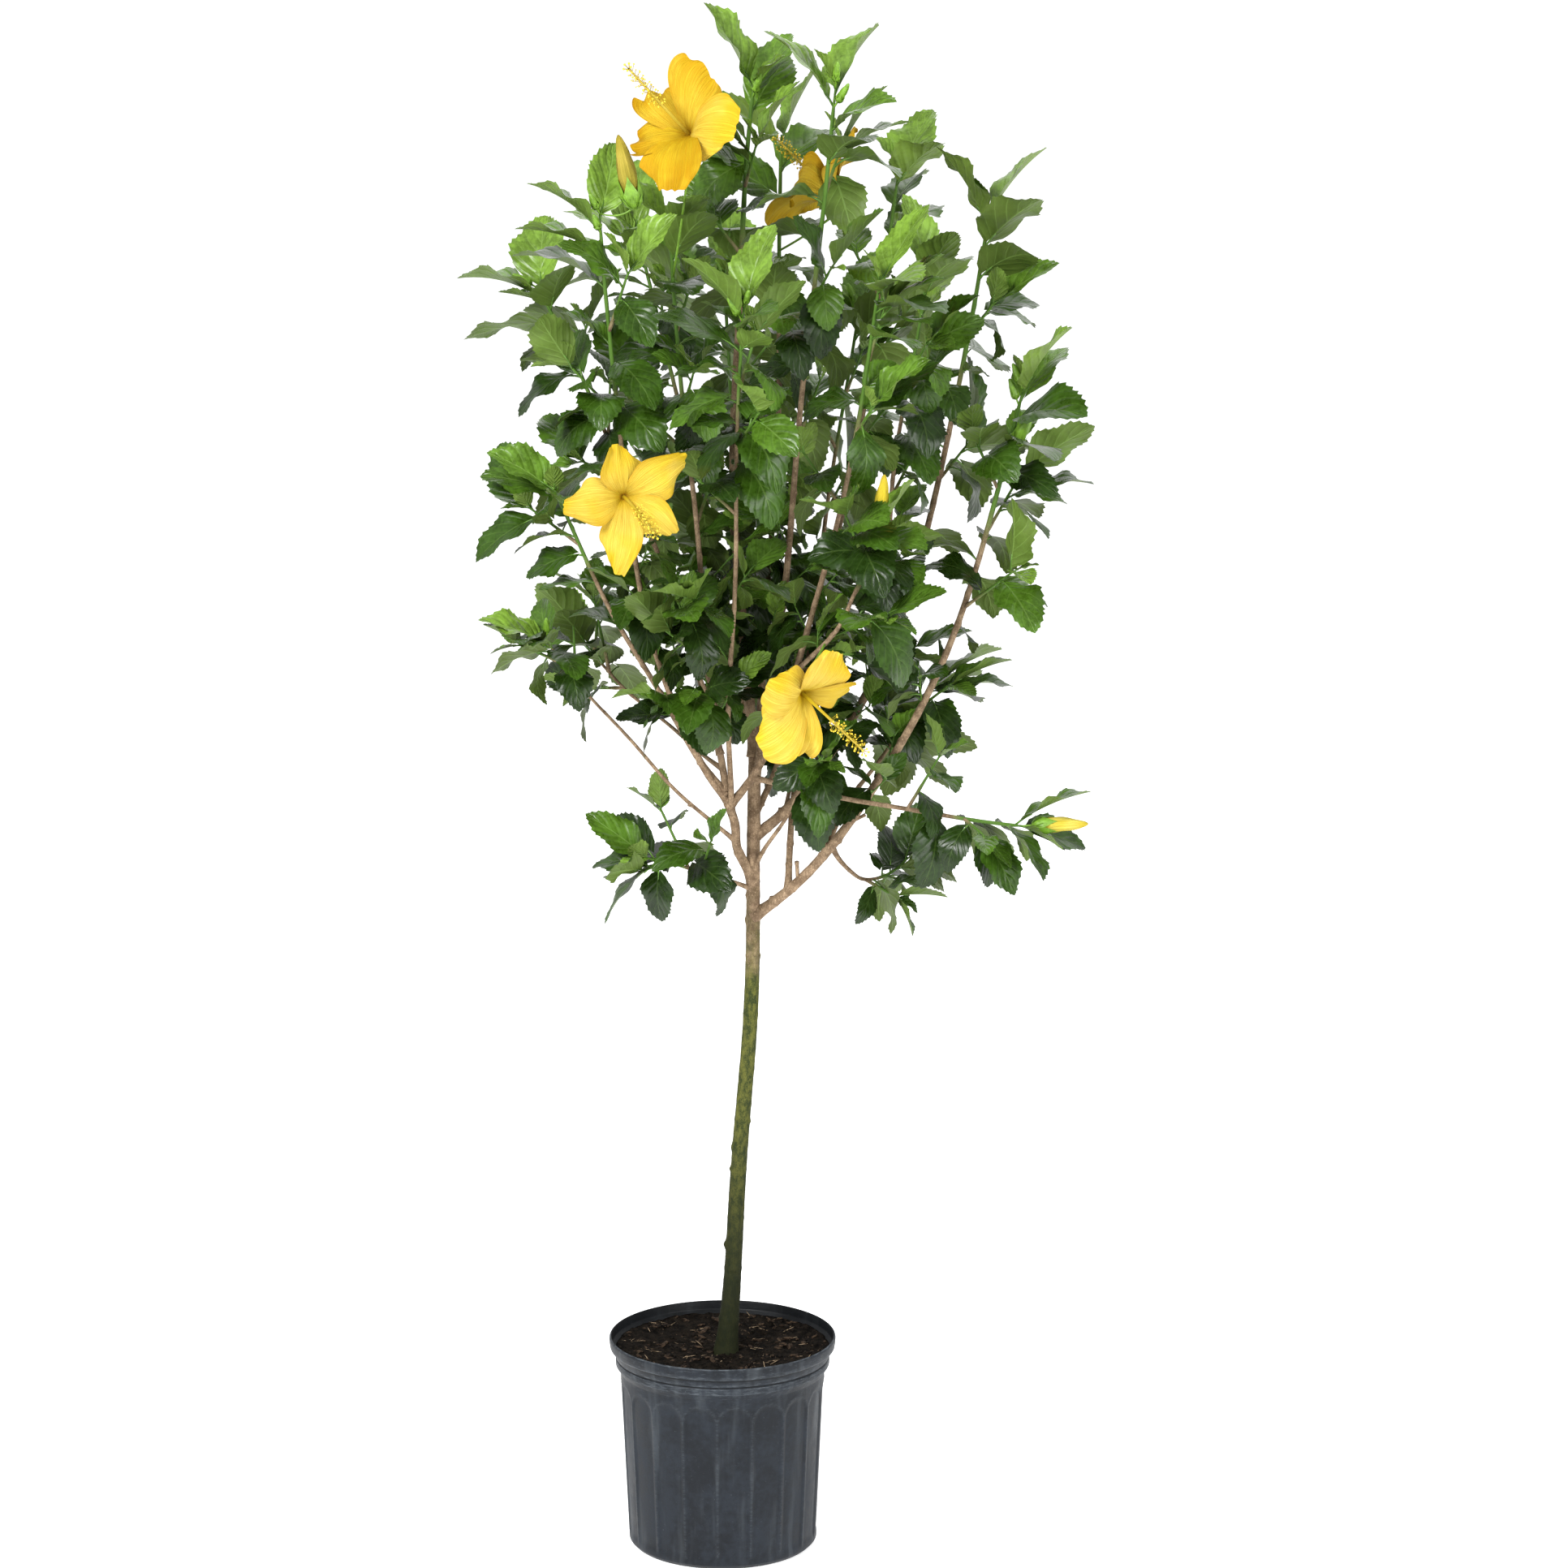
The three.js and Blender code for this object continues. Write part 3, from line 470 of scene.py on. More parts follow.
@functools.cache
def plant_stems():
    """The trunk and the limbs, as centre lines with their radii."""
    trunk = SimpleNamespace(name="trunk", stem=Stem(TRUNK.foot, TRUNK.bend, TRUNK.tip, TRUNK.sway), bare=1)

    def trunk_radius(t):
        height = np.maximum(0, trunk.stem.point(t)[..., 2] - TRUNK.cut_height)
        flare = TRUNK.flare * np.exp(-height / TRUNK.flare_height)
        return mix((TRUNK.foot_radius, TRUNK.tip_radius), t) + flare

    trunk.radius_at = trunk_radius
    stems = {"trunk": trunk}
    for order, limb in enumerate(LIMBS):
        start = stems[limb.parent].stem.point(limb.at)
        stem = Stem(start, limb.bend, limb.tip, LIMB.sway, order * GOLDEN_TURN)
        radius_at = functools.partial(mix, limb.radius)
        stems[limb.name] = SimpleNamespace(**limb._asdict(), order=order, stem=stem, radius_at=radius_at)
    return stems


def distances(points, starts, ends):
    """How far each point is from each straight stretch, as a table."""
    way = ends - starts
    span = np.einsum("ij,ij->i", way, way)
    rel = points[:, None, :] - starts
    share = np.clip(np.einsum("pij,ij->pi", rel, way) / span, 0, 1)
    return np.linalg.norm(rel - share[..., None] * way, axis=2)


class Spaces:
    """Each mass's own space: nearer to its leader than to any other, and clear of limbs and blooms."""

    def __init__(self, stems):
        leaders = []
        woods = []
        for limb in stems.values():
            run = limb.stem.run(0, limb.bare, ROOM.bough_steps)
            woods.append((None, run, limb.radius_at(limb.bare * ROOM.thick_at)))
            if limb.bare == 1:
                continue
            run = limb.stem.run(limb.bare, 1, ROOM.leader_steps)
            leaders.append((limb.name, run, 0))
            woods.append((limb.name, run, limb.radius_at(limb.bare)))
        self.blooms = []
        self.fronts = []
        for bloom in BLOOMS:
            limb = stems[bloom.mass]
            facing = unit(np.array(bloom.facing, float))
            middle = np.array(bloom.middle, float)
            root = limb.stem.point(mix((limb.bare, 1), bloom.at))
            throat = middle - facing * BLOOM.length * BLOOM.throat_depth
            woods.append((bloom.mass, np.array([root, throat]), ROOM.bloom_stalk))
            self.fronts.append(middle + facing * BLOOM.length * BLOOM.room_ahead)
            host, t = bloom.stalk
            axis = unit(np.array(bloom.axis, float))
            throat = middle - axis * BLOOM.length * BLOOM.throat_depth
            found = {"axis": axis, "middle": middle, "throat": throat, "root": stems[host].stem.point(t)}
            self.blooms.append(SimpleNamespace(**vars(bloom) | found))
        self.leaders = self.stretches(leaders)
        self.woods = self.stretches(woods)
        self.low = np.array(CAD_BOX[0]) / MM + FINE.box_margin
        self.high = np.array(CAD_BOX[1]) / MM - FINE.box_margin

    @staticmethod
    def stretches(rows):
        """Every straight stretch of some runs: its owner's name, its start, its end and its radius."""
        owners = np.array([str(name) for name, run, _ in rows for _ in run[1:]])
        starts = np.concatenate([run[:-1] for _, run, _ in rows])
        ends = np.concatenate([run[1:] for _, run, _ in rows])
        radii = np.array([float(radius) for _, run, radius in rows for _ in run[1:]])
        return owners, starts, ends, radii

    def holds(self, points, name, reach):
        """Whether some points lie within a mass's own space."""
        owners, starts, ends, _ = self.leaders
        table = distances(points, starts, ends)
        own = table[:, owners == name].min(axis=1)
        if (own > reach).any() or (table[:, owners != name].min(axis=1) < own + 2 * ROOM.mass).any():
            return False
        ahead = np.linalg.norm(points[:, None] - self.fronts, axis=2)
        if (ahead <= BLOOM.room).any():
            return False
        owners, starts, ends, radii = self.woods
        others = owners != name
        gaps = distances(points, starts[others], ends[others]) - radii[others]
        return bool((gaps >= ROOM.limb).all())

    def holds_fine(self, points):
        """For the finer growth: inside the plant's box, and clear of limbs and of the air ahead of blooms."""
        if (points < self.low).any() or (points > self.high).any():
            return False
        middles = np.array([bloom.middle for bloom in self.blooms])
        aheads = np.array([bloom.middle + bloom.axis * FINE.room_ahead for bloom in self.blooms])
        if (distances(points, middles, aheads) < FINE.bloom_room).any():
            return False
        _, starts, ends, radii = self.woods
        return bool((distances(points[3:], starts, ends) - radii >= ROOM.limb).all())


def leaf_plan(root, axis, radial, age, size, draw):
    """Where one leaf lies. Its age runs from 0, at a shoot's tip, to 1, at its foot."""
    spread = math.radians(mix(LEAF.spread, age) + LEAF.stray_degrees * (draw() - 0.5))
    out = axis * math.cos(spread) + radial * math.sin(spread)
    base = root + out * LEAF.stalk * size
    droop = mix(LEAF.droop, age) * mix(LEAF.stray_droop, draw())
    lay = unit(out - UP * droop)
    face = UP + axis * LEAF.face_along_stem
    face = unit(face - lay * face.dot(lay))
    roll = math.radians(LEAF.roll) * (2 * draw() - 1)
    face = face * math.cos(roll) + np.cross(lay, face) * math.sin(roll)
    across = np.cross(lay, face)
    fold = math.radians(mix(LEAF.fold, age))
    curl = math.radians(mix(LEAF.curl, age) * mix(LEAF.stray_curl, draw()))
    middle = base + lay * LEAF.widest * size
    outer = (1 - LEAF.widest) * size
    tip = middle + lay * outer * math.cos(curl) - face * outer * math.sin(curl)
    half = LEAF.half_width * size
    edges = [middle + across * way * half * math.cos(fold) + face * half * math.sin(fold) for way in (-1, 1)]
    return SimpleNamespace(
        root=root, base=base, middle=middle, tip=tip, left=edges[0], right=edges[1], face=face,
        across=across, lay=lay, fold=fold, size=size, age=age, axis=axis,
    )


def leaf_samples(leaf):
    """Points spread over a leaf, for the test that it keeps to its space."""
    points = []
    for share in (0.35, 0.68, 1):
        centre = mix((leaf.root, leaf.middle), share)
        rims = [mix((leaf.root, edge), share) for edge in (leaf.left, leaf.right)]
        points += [centre, *rims, *((centre + rim) / 2 for rim in rims)]
    for share in (0.33, 0.66, 1):
        centre = mix((leaf.middle, leaf.tip), share)
        rims = [mix((edge, leaf.tip), share) for edge in (leaf.left, leaf.right)]
        points += [centre, *rims, *((centre + rim) / 2 for rim in rims)]
    return np.array(points)


def pierced(starts, ends, corners):
    """Whether any of some straight runs passes through any of some triangles."""
    way = (ends - starts)[:, None]
    first = corners[:, 1] - corners[:, 0]
    second = corners[:, 2] - corners[:, 0]
    from_corner = starts[:, None] - corners[:, 0]
    cross = np.cross(way, second)
    with np.errstate(divide="ignore", invalid="ignore"):
        whole = (first * cross).sum(axis=2)
        a = (from_corner * cross).sum(axis=2) / whole
        other = np.cross(from_corner, first)
        b = (way * other).sum(axis=2) / whole
        t = (second * other).sum(axis=2) / whole
        return bool(((a >= 0) & (b >= 0) & (a + b <= 1) & (t >= 0) & (t < 1)).any())


def leaf_edges(leaf):
    """The starts and the ends of a leaf plan's six edges."""
    root, left, tip, right, middle = leaf.root, leaf.left, leaf.tip, leaf.right, leaf.middle
    return np.array([root, left, tip, right, root, middle]), np.array([left, tip, right, root, middle, tip])


def leaf_faces(leaf):
    """A leaf plan's four faces, the two at its stalk and the two at its tip."""
    root, left, tip, right, middle = leaf.root, leaf.left, leaf.tip, leaf.right, leaf.middle
    corners = [[root, left, middle], [right, root, middle], [left, tip, middle], [tip, right, middle]]
    return np.array(corners)


class Growth:
    """The side shoots, twigs and leaves of one mass, by the seeded rule and then by its finer part."""

    def __init__(self, limb, spaces):
        self.limb = limb
        self.spaces = spaces
        self.leaves = []
        self.shoots = []
        self.twigs = []
        self.runs = [limb.stem.run(limb.bare, 1, 6)]
        reference = reference_for(limb.stem, limb.bare, 1)
        self.leader = SimpleNamespace(stem=limb.stem, reference=reference, sides=LEADER.sides)
        self.draw = seeded(SEED * (limb.order + 1) + limb.sow)
        self.grow_rule()

    def flat_side(self, on, axis, flat):
        """The way out of the middle of one of a stem's flat sides, a little astray."""
        turn = 2 * math.pi * (flat + 0.5 + ROOM.stray_on_flat * (self.draw() - 0.5)) / on.sides
        return radial_of(axis, on.reference, turn)

    def crosses(self, leaf, leaves):
        """Whether a leaf plan passes through a leaf near it, or a stem through its outer half."""
        near = [
            grown for grown in leaves
            if np.linalg.norm(grown.middle - leaf.middle) <= grown.size + leaf.size
        ]
        if near:
            if pierced(*leaf_edges(leaf), np.concatenate([leaf_faces(grown) for grown in near])):
                return True
            starts, ends = zip(*(leaf_edges(grown) for grown in near))
            if pierced(np.concatenate(starts), np.concatenate(ends), leaf_faces(leaf)):
                return True
        starts = np.concatenate([run[:-1] for run in self.runs])
        ends = np.concatenate([run[1:] for run in self.runs])
        return pierced(starts, ends, leaf_faces(leaf)[2:])

    def add_leaf(self, on, t, flat, age, size, tries=ROOM.tries, others=None):
        """Tries a leaf on one flat side after another, each time smaller, until it crosses nothing."""
        root = on.stem.point(t)
        axis = on.stem.along(t)
        for i in range(tries):
            radial = self.flat_side(on, axis, flat + i)
            leaf = leaf_plan(root, axis, radial, age, size * ROOM.shrink**i, self.draw)
            if self.crosses(leaf, self.leaves if others is None else others):
                continue
            points = leaf_samples(leaf)
            if others is None:
                clear = self.spaces.holds(points, self.limb.name, self.limb.reach)
            else:
                clear = self.spaces.holds_fine(points)
            if not clear:
                continue
            leaf.on_leader = on is self.leader
            leaf.fine = others is not None
            self.leaves.append(leaf)
            if leaf.fine:
                others.append(leaf)
            return

    def grow_rule(self):
        """Side shoots with their leaves, and then the leader's own leaves."""
        limb = self.limb
        for i in range(limb.shoots):
            share = mix(SHOOT.places, (i + SHOOT.stray_place * self.draw()) / limb.shoots)
            t = mix((limb.bare, 1), share)
            root = limb.stem.point(t)
            axis = limb.stem.along(t)
            radial = self.flat_side(self.leader, axis, i + limb.order)
            spread = math.radians(mix(SHOOT.spread, share))
            way = axis * math.cos(spread) + radial * math.sin(spread)
            length = limb.reach * SHOOT.length * mix((1, SHOOT.top_length), share)
            length *= mix(SHOOT.stray_length, self.draw())
            tip = root + way * length + UP * length * SHOOT.rise
            stem = straight(root, tip)
            if not self.spaces.holds(stem.run(0.25, 1, 5), limb.name, limb.reach):
                continue
            self.runs.append(np.array([root, tip]))
            shoot = SimpleNamespace(stem=stem, reference=reference_for(stem, 0, 1), sides=SHOOT.sides)
            self.shoots.append(shoot)
            for j in range(limb.leaves):
                age = j / max(1, limb.leaves - 1)
                size = limb.leaf * mix(LEAF.shoot_sizes, self.draw()) * mix((1, LEAF.lowest), age)
                self.add_leaf(shoot, mix(SHOOT.leaf_places, age), i + j, age, size)
        on_leader = limb.leaves + LEADER.more_leaves
        for j in range(on_leader):
            age = j / (on_leader - 1)
            t = mix((limb.bare, 1), mix(LEADER.leaf_places, age**LEADER.crowding))
            size = limb.leaf * mix(LEAF.leader_sizes, self.draw())
            self.add_leaf(self.leader, t, j + j // LEADER.sides, age, size)

    def grow_fine(self, others):
        """Adds the finer growth. It keeps clear of every leaf of the plant, not only of its own mass's."""
        self.draw = seeded(FINE.sow * (self.limb.order + 1))
        bare = self.limb.bare
        low = self.limb.name.startswith("low_")
        for host in (self.leader, *self.shoots):
            for i in range(FINE.tip_leaves):
                size = mix(FINE.tip_leaf, self.draw())
                place = FINE.tip_place - FINE.tip_step * i
                self.add_leaf(host, place, i + 1, 0, size, FINE.tip_tries, others)
            # One draw is passed over for each host, which keeps the ones after it as they are.
            self.draw()
            more = FINE.leader_leaves if host is self.leader and not low else 0
            for i in range(more):
                share = (i + self.draw()) / more
                size = mix(FINE.leaf, self.draw())
                place = mix((bare, 1), mix(FINE.leader_places, share))
                self.add_leaf(host, place, i, 1 - share, size, FINE.leader_tries, others)
        twigs = BOUGH_TWIGS.get(self.limb.name, 0)
        for i in range(twigs):
            self.add_twig(bare - FINE.bough_from * (i + self.draw()) / twigs, i, others)

    def add_twig(self, t, order, others):
        """A short twig on the bough below its leader, with leaves from its tip down."""
        root = self.limb.stem.point(t)
        axis = self.limb.stem.along(t)
        radial = radial_of(axis, self.leader.reference, order * GOLDEN_TURN + 2 * self.draw())
        spread = math.radians(mix(FINE.twig_spread, self.draw()))
        way = unit(axis * math.cos(spread) + radial * math.sin(spread) + UP * FINE.twig_rise)
        tip = root + way * mix(FINE.twig_length, self.draw())
        stem = straight(root, tip)
        if not self.spaces.holds_fine(stem.run(0, 1, 6)):
            return
        self.runs.append(np.array([root, tip]))
        twig = SimpleNamespace(stem=stem, reference=reference_for(stem, 0, 1), sides=SHOOT.sides)
        self.twigs.append(twig)
        for j in range(FINE.twig_leaves):
            age = j / (FINE.twig_leaves - 1)
            size = mix(FINE.leaf, self.draw())
            place = mix(FINE.twig_leaf_places, age)
            self.add_leaf(twig, place, j + order, age, size, FINE.twig_tries, others)


@functools.cache
def grown_plant():
    """The whole plant's limbs, blooms and masses, with the finer growth after all the rest."""
    stems = plant_stems()
    spaces = Spaces(stems)
    masses = [Growth(limb, spaces) for limb in stems.values() if limb.bare < 1]
    leaves = [leaf for mass in masses for leaf in mass.leaves]
    for mass in masses:
        mass.grow_fine(leaves)
    return SimpleNamespace(stems=stems, blooms=spaces.blooms, masses=masses)


class Heap:
    """Many copies of small shapes, gathered in millimetres into one mesh in metres."""

    def __init__(self):
        self.points = []
        self.faces = []
        self.uv = []
        self.values = []
        self.count = 0

    def add(self, points, faces, uv=None, value=0.0):
        points = np.asarray(points, float)
        self.points.append(points)
        self.faces += [[corner + self.count for corner in face] for face in faces]
        self.uv.append(np.zeros((len(points), 2)) if uv is None else uv)
        self.values.append(np.broadcast_to(np.asarray(value, float), len(points)))
        self.count += len(points)

    def piece(self, name, material, value_name=None):
        mesh = bpy.data.meshes.new(name)
        mesh.from_pydata(np.concatenate(self.points) * MM, [], self.faces)
        corners = np.empty(len(mesh.loops), int)
        mesh.loops.foreach_get("vertex_index", corners)
        layer = mesh.uv_layers.new(name="UVMap")
        layer.data.foreach_set("uv", np.concatenate(self.uv)[corners].ravel())
        if value_name:
            attribute = mesh.attributes.new(value_name, "FLOAT", "POINT")
            attribute.data.foreach_set("value", np.concatenate(self.values))
        return placed(mesh, material)


def placed(mesh, material):
    """A shown object for a finished mesh, smooth, and riding on the plant's one body."""
    mesh.update()
    mesh.materials.append(material)
    mesh.shade_smooth()
    piece = bpy.data.objects.new(mesh.name, mesh)
    bpy.context.scene.collection.objects.link(piece)
    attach(piece, "root")
    return piece


def taken_from(bm):
    """A bmesh's points and faces as plain arrays."""
    bm.verts.index_update()
    points = np.array([vert.co[:] for vert in bm.verts])
    faces = [[vert.index for vert in face.verts] for face in bm.faces]
    bm.free()
    return points, faces


def mesh_from(bm, name):
    mesh = bpy.data.meshes.new(name)
    bm.to_mesh(mesh)
    bm.free()
    return mesh


@functools.cache
def tube_shape(sides, steps):
    """A straight capped tube of radius 1 from z 0 to z 1."""
    bm = bmesh.new()
    lift = Matrix.Translation((0, 0, 0.5))
    bmesh.ops.create_cone(bm, cap_ends=True, segments=sides, radius1=1, radius2=1, depth=1, matrix=lift)
    long_edges = [edge for edge in bm.edges if abs(edge.verts[0].co.z - edge.verts[1].co.z) > 0.5]
    if steps > 1:
        bmesh.ops.subdivide_edges(bm, edges=long_edges, cuts=steps - 1, use_grid_fill=True)
    points, faces = taken_from(bm)
    return points, faces, np.arctan2(points[:, 1], points[:, 0]), points[:, 2]


@functools.cache
def ball_shape(subdivisions):
    bm = bmesh.new()
    bmesh.ops.create_icosphere(bm, subdivisions=subdivisions, radius=1)
    return taken_from(bm)


def add_tube(heap, stem, radius_at, sides, steps, start=0.0, end=1.0, value=0.0, bark=None):
    """Lays a tube along a stretch of stem. bark adds its relief to the radius, by share and turn."""
    _, faces, turn, share = tube_shape(sides, steps)
    t = start + (end - start) * share
    radial = radial_of(stem.along(t), reference_for(stem, start, end), turn)
    radius = radius_at(t) * np.ones_like(t)
    if bark is not None:
        radius = radius + bark(t, turn, radius)
    points = stem.point(t) + radial * radius[:, None]
    uv = np.stack([turn / (2 * np.pi) + 0.5, t * stem.length * MM], axis=1)
    heap.add(points, faces, uv, value(t) if callable(value) else value)


def toned(colour, share, lift=0.0):
    """A colour made darker or lighter by a share, and then lifted."""
    return [channel * share + lift for channel in colour]


def plug(tree, socket, value):
    """Links a node's output to a socket, or sets a plain number, place or colour on it."""
    if isinstance(value, bpy.types.NodeSocket):
        tree.links.new(value, socket)
    elif socket.type == "RGBA":
        socket.default_value = (*value, 1.0)
    else:
        socket.default_value = value


class Nodes:
    """Short ways to add and join the nodes of one material or group."""

    def __init__(self, tree):
        self.tree = tree

    def add(self, kind, inputs=None, **settings):
        node = self.tree.nodes.new("ShaderNode" + kind)
        for name, value in settings.items():
            setattr(node, name, value)
        for name, value in (inputs or {}).items():
            plug(self.tree, node.inputs[name], value)
        return node

    def group(self, tree, **inputs):
        return self.add("Group", inputs, node_tree=tree).outputs

    def mottle(self, place, scale, dark, light):
        return self.group(mottle_group(), Place=place, Scale=scale, Dark=dark, Light=light)

    def math(self, operation, first, second=0.5):
        return self.add("Math", {0: first, 1: second}, operation=operation).outputs[0]

    def plus(self, first, second):
        return self.math("ADD", first, second)

    def minus(self, first, second):
        return self.math("SUBTRACT", first, second)

    def times(self, first, second):
        return self.math("MULTIPLY", first, second)

    def from_middle(self, share):
        """0 where a share is a half, rising to 1 where it is 0 or 1."""
        return self.times(self.math("ABSOLUTE", self.minus(share, 0.5)), 2.0)

    def blend(self, share, first, second, blend_type="MIX"):
        inputs = {0: share, 6: first, 7: second}
        return self.add("Mix", inputs, data_type="RGBA", blend_type=blend_type).outputs[2]

    def between(self, value, low, high, start=0.0, end=1.0):
        """A smooth run from start, where a value is low, to end, where it is high."""
        inputs = {"Value": value, "From Min": low, "From Max": high, "To Min": start, "To Max": end}
        return self.add("MapRange", inputs, interpolation_type="SMOOTHSTEP").outputs[0]

    def noise(self, vector, scale, detail=4.0, roughness=0.55):
        inputs = {"Vector": vector, "Scale": scale, "Detail": detail, "Roughness": roughness}
        return self.add("TexNoise", inputs).outputs["Fac"]

    def stretched(self, vector, along):
        """A place whose height counts by another share, so that patterns on it grow long or flat."""
        return self.add("Mapping", {"Vector": vector, "Scale": (1.0, 1.0, along)}).outputs[0]

    def object_place(self):
        return self.add("TexCoord").outputs["Object"]

    def height_of(self, place):
        return self.add("SeparateXYZ", {0: place}).outputs[2]

    def uv_place(self):
        """The two coordinates of a piece's own UV map."""
        return self.add("SeparateXYZ", {0: self.add("UVMap", uv_map="UVMap").outputs[0]}).outputs

    def attribute(self, name):
        return self.add("Attribute", attribute_name=name).outputs["Fac"]

    def bump(self, height, strength, distance):
        inputs = {"Height": height, "Strength": strength, "Distance": distance}
        return self.add("Bump", inputs).outputs[0]


class Paint(Nodes):
    """A new material's nodes and its shader."""

    def __init__(self, name):
        self.material = bpy.data.materials.new(name)
        self.material.use_nodes = True
        super().__init__(self.material.node_tree)
        self.shader = self.tree.nodes["Principled BSDF"]

    def finish(self, **values):
        """Gives the shader its inputs, and hands back the material."""
        for name, value in values.items():
            label = "Specular IOR Level" if name == "specular" else name.replace("_", " ").title()
            plug(self.tree, self.shader.inputs[label], value)
        return self.material


def new_group(name, **inputs):
    """A shader node group with named inputs, each given as a kind of socket and its default."""
    tree = bpy.data.node_groups.new(name, "ShaderNodeTree")
    for label, (kind, default) in inputs.items():
        socket = tree.interface.new_socket(label, in_out="INPUT", socket_type="NodeSocket" + kind)
        socket.default_value = default
    return Nodes(tree), tree.nodes.new("NodeGroupInput").outputs


def group_with(nodes, **outputs):
    """Gives a group its named outputs, and hands back its tree."""
    for label, value in outputs.items():
        kind = "NodeSocketColor" if value.type == "RGBA" else "NodeSocketFloat"
        nodes.tree.interface.new_socket(label, in_out="OUTPUT", socket_type=kind)
    sink = nodes.tree.nodes.new("NodeGroupOutput").inputs
    for label, value in outputs.items():
        nodes.tree.links.new(value, sink[label])
    return nodes.tree


@functools.cache
def mottle_group():
    """Coarse and fine patches of two colours, and their height."""
    nodes, source = new_group(
        "Mottle", Place=("Vector", (0, 0, 0)), Scale=("Float", 40.0),
        Dark=("Color", (0, 0, 0, 1)), Light=("Color", (1, 1, 1, 1)),
    )
    coarse = nodes.noise(source["Place"], source["Scale"], detail=5.0, roughness=0.62)
    fine = nodes.noise(source["Place"], nodes.times(source["Scale"], 7.0), detail=3.0)
    height = nodes.plus(nodes.times(coarse, 0.65), nodes.times(fine, 0.35))
    colour = nodes.blend(nodes.between(height, 0.38, 0.64), source["Dark"], source["Light"])
    return group_with(nodes, Color=colour, Height=height)


@functools.cache
def vein_group():
    """The midrib and the side veins of a leaf, from its own UV map: a mask, and the height between them."""
    nodes, source = new_group("Leaf veins", Pairs=("Float", 4.6), Slant=("Float", 0.45))
    place = nodes.uv_place()
    aside = nodes.from_middle(place[0])
    climb = nodes.minus(place[1], nodes.times(aside, source["Slant"]))
    off_vein = nodes.from_middle(nodes.math("FRACT", nodes.times(nodes.plus(climb, 1.0), source["Pairs"])))
    side_vein = nodes.times(nodes.between(off_vein, 0.86, 0.99), nodes.between(aside, 1.0, 0.4, 0.25, 0.8))
    midrib = nodes.between(aside, 0.06, 0.012)
    pillow = nodes.minus(1.0, nodes.math("MAXIMUM", nodes.between(off_vein, 0.3, 1.0), midrib))
    return group_with(nodes, Veins=nodes.math("MAXIMUM", side_vein, midrib), Height=pillow)


@functools.cache
def streak_group():
    """Fine streaks that fan out along a petal's own UV map, and where on the petal a point is."""
    nodes, source = new_group("Petal streaks", Count=("Float", 26.0))
    place = nodes.uv_place()
    lanes = nodes.add("CombineXYZ", {0: nodes.times(place[0], source["Count"]), 1: place[1]}).outputs[0]
    streaks = nodes.between(nodes.noise(lanes, 1.4, detail=3.0, roughness=0.6), 0.35, 0.68)
    return group_with(nodes, Streaks=streaks, Along=place[1], Aside=nodes.from_middle(place[0]))


def leaf_material(name, colour, settings, veining):
    """A leaf's glossy top and dull paler underside, with its veins drawn as strongly as veining says."""
    paint = Paint(name)
    veins = paint.group(vein_group())
    patches = paint.mottle(paint.object_place(), 34.0, toned(colour, 0.62), toned(colour, 1.28, 0.004))
    top = paint.blend(paint.times(veins["Veins"], veining), patches["Color"], settings.vein_colour)
    under = paint.blend(0.5, settings.underside_colour, patches["Color"])
    under = paint.blend(paint.times(veins["Veins"], 0.45), under, settings.vein_colour)
    back = paint.add("NewGeometry").outputs["Backfacing"]
    gloss = paint.between(patches["Height"], 0.3, 0.7, settings.gloss, settings.gloss + 0.14)
    return paint.finish(
        base_color=paint.blend(back, top, under),
        roughness=paint.plus(gloss, paint.times(back, 0.22)),
        specular=0.3,
        normal=paint.bump(veins["Height"], strength=0.16 + veining, distance=0.0013),
    )


# The film on the trunk, with heights in metres: it thins out over the upper two, and painted shade darkens it
# over the lower two, most at the foot.
MOSS = SimpleNamespace(thin_out=(0.87, 0.76), ragged=0.22, cover=0.985, darken=(0.56, 0.27), foot_share=0.93)


def mossed(paint, place, colour, bark):
    """Bark overgrown with a green film low down, with painted shade that darkens it towards the foot."""
    height = paint.height_of(place)
    ragged = paint.plus(height, paint.times(paint.noise(place, 26.0), MOSS.ragged))
    film = paint.mottle(paint.stretched(place, 0.5), 190.0, bark.moss_dark, bark.moss_light)
    # Painted shade: towards the foot the film goes over to a much darker copy of its dark tone.
    foot_shade = paint.between(height, *MOSS.darken, end=MOSS.foot_share)
    moss = paint.blend(foot_shade, film["Color"], toned(bark.moss_dark, 0.3))
    # The film, with its painted shade, covers the bark low down.
    return paint.blend(paint.times(paint.between(ragged, *MOSS.thin_out), MOSS.cover), colour, moss)


def bark_material(name, bark, mossy=False):
    """Ridged bark with pale pores, which turns green where its young attribute rises."""
    paint = Paint(name)
    place = paint.object_place()
    long_grain = paint.noise(paint.stretched(place, 0.16), 620.0, roughness=0.6)
    patches = paint.mottle(place, 90.0, bark.dark, bark.light)
    colour = paint.blend(paint.between(long_grain, 0.42, 0.66, end=0.55), patches["Color"], bark.dark)
    cells = paint.add("TexVoronoi", {"Vector": paint.stretched(place, 0.6), "Scale": 260.0})
    pores = paint.between(cells.outputs["Distance"], 0.2, 0.08)
    colour = paint.blend(paint.times(pores, 0.45), colour, toned(bark.light, 1.7))
    if mossy:
        colour = mossed(paint, place, colour, bark)
    youth = paint.attribute("young")
    uneven = paint.times(paint.minus(patches["Height"], 0.5), 0.5)
    colour = paint.blend(paint.between(paint.plus(youth, uneven), 0.25, 0.75), colour, bark.green)
    height = paint.plus(long_grain, paint.times(patches["Height"], 0.8))
    return paint.finish(
        base_color=colour,
        roughness=paint.between(youth, 0.2, 0.9, start=0.82, end=0.5),
        specular=0.2,
        normal=paint.bump(height, strength=0.5, distance=0.0008),
    )


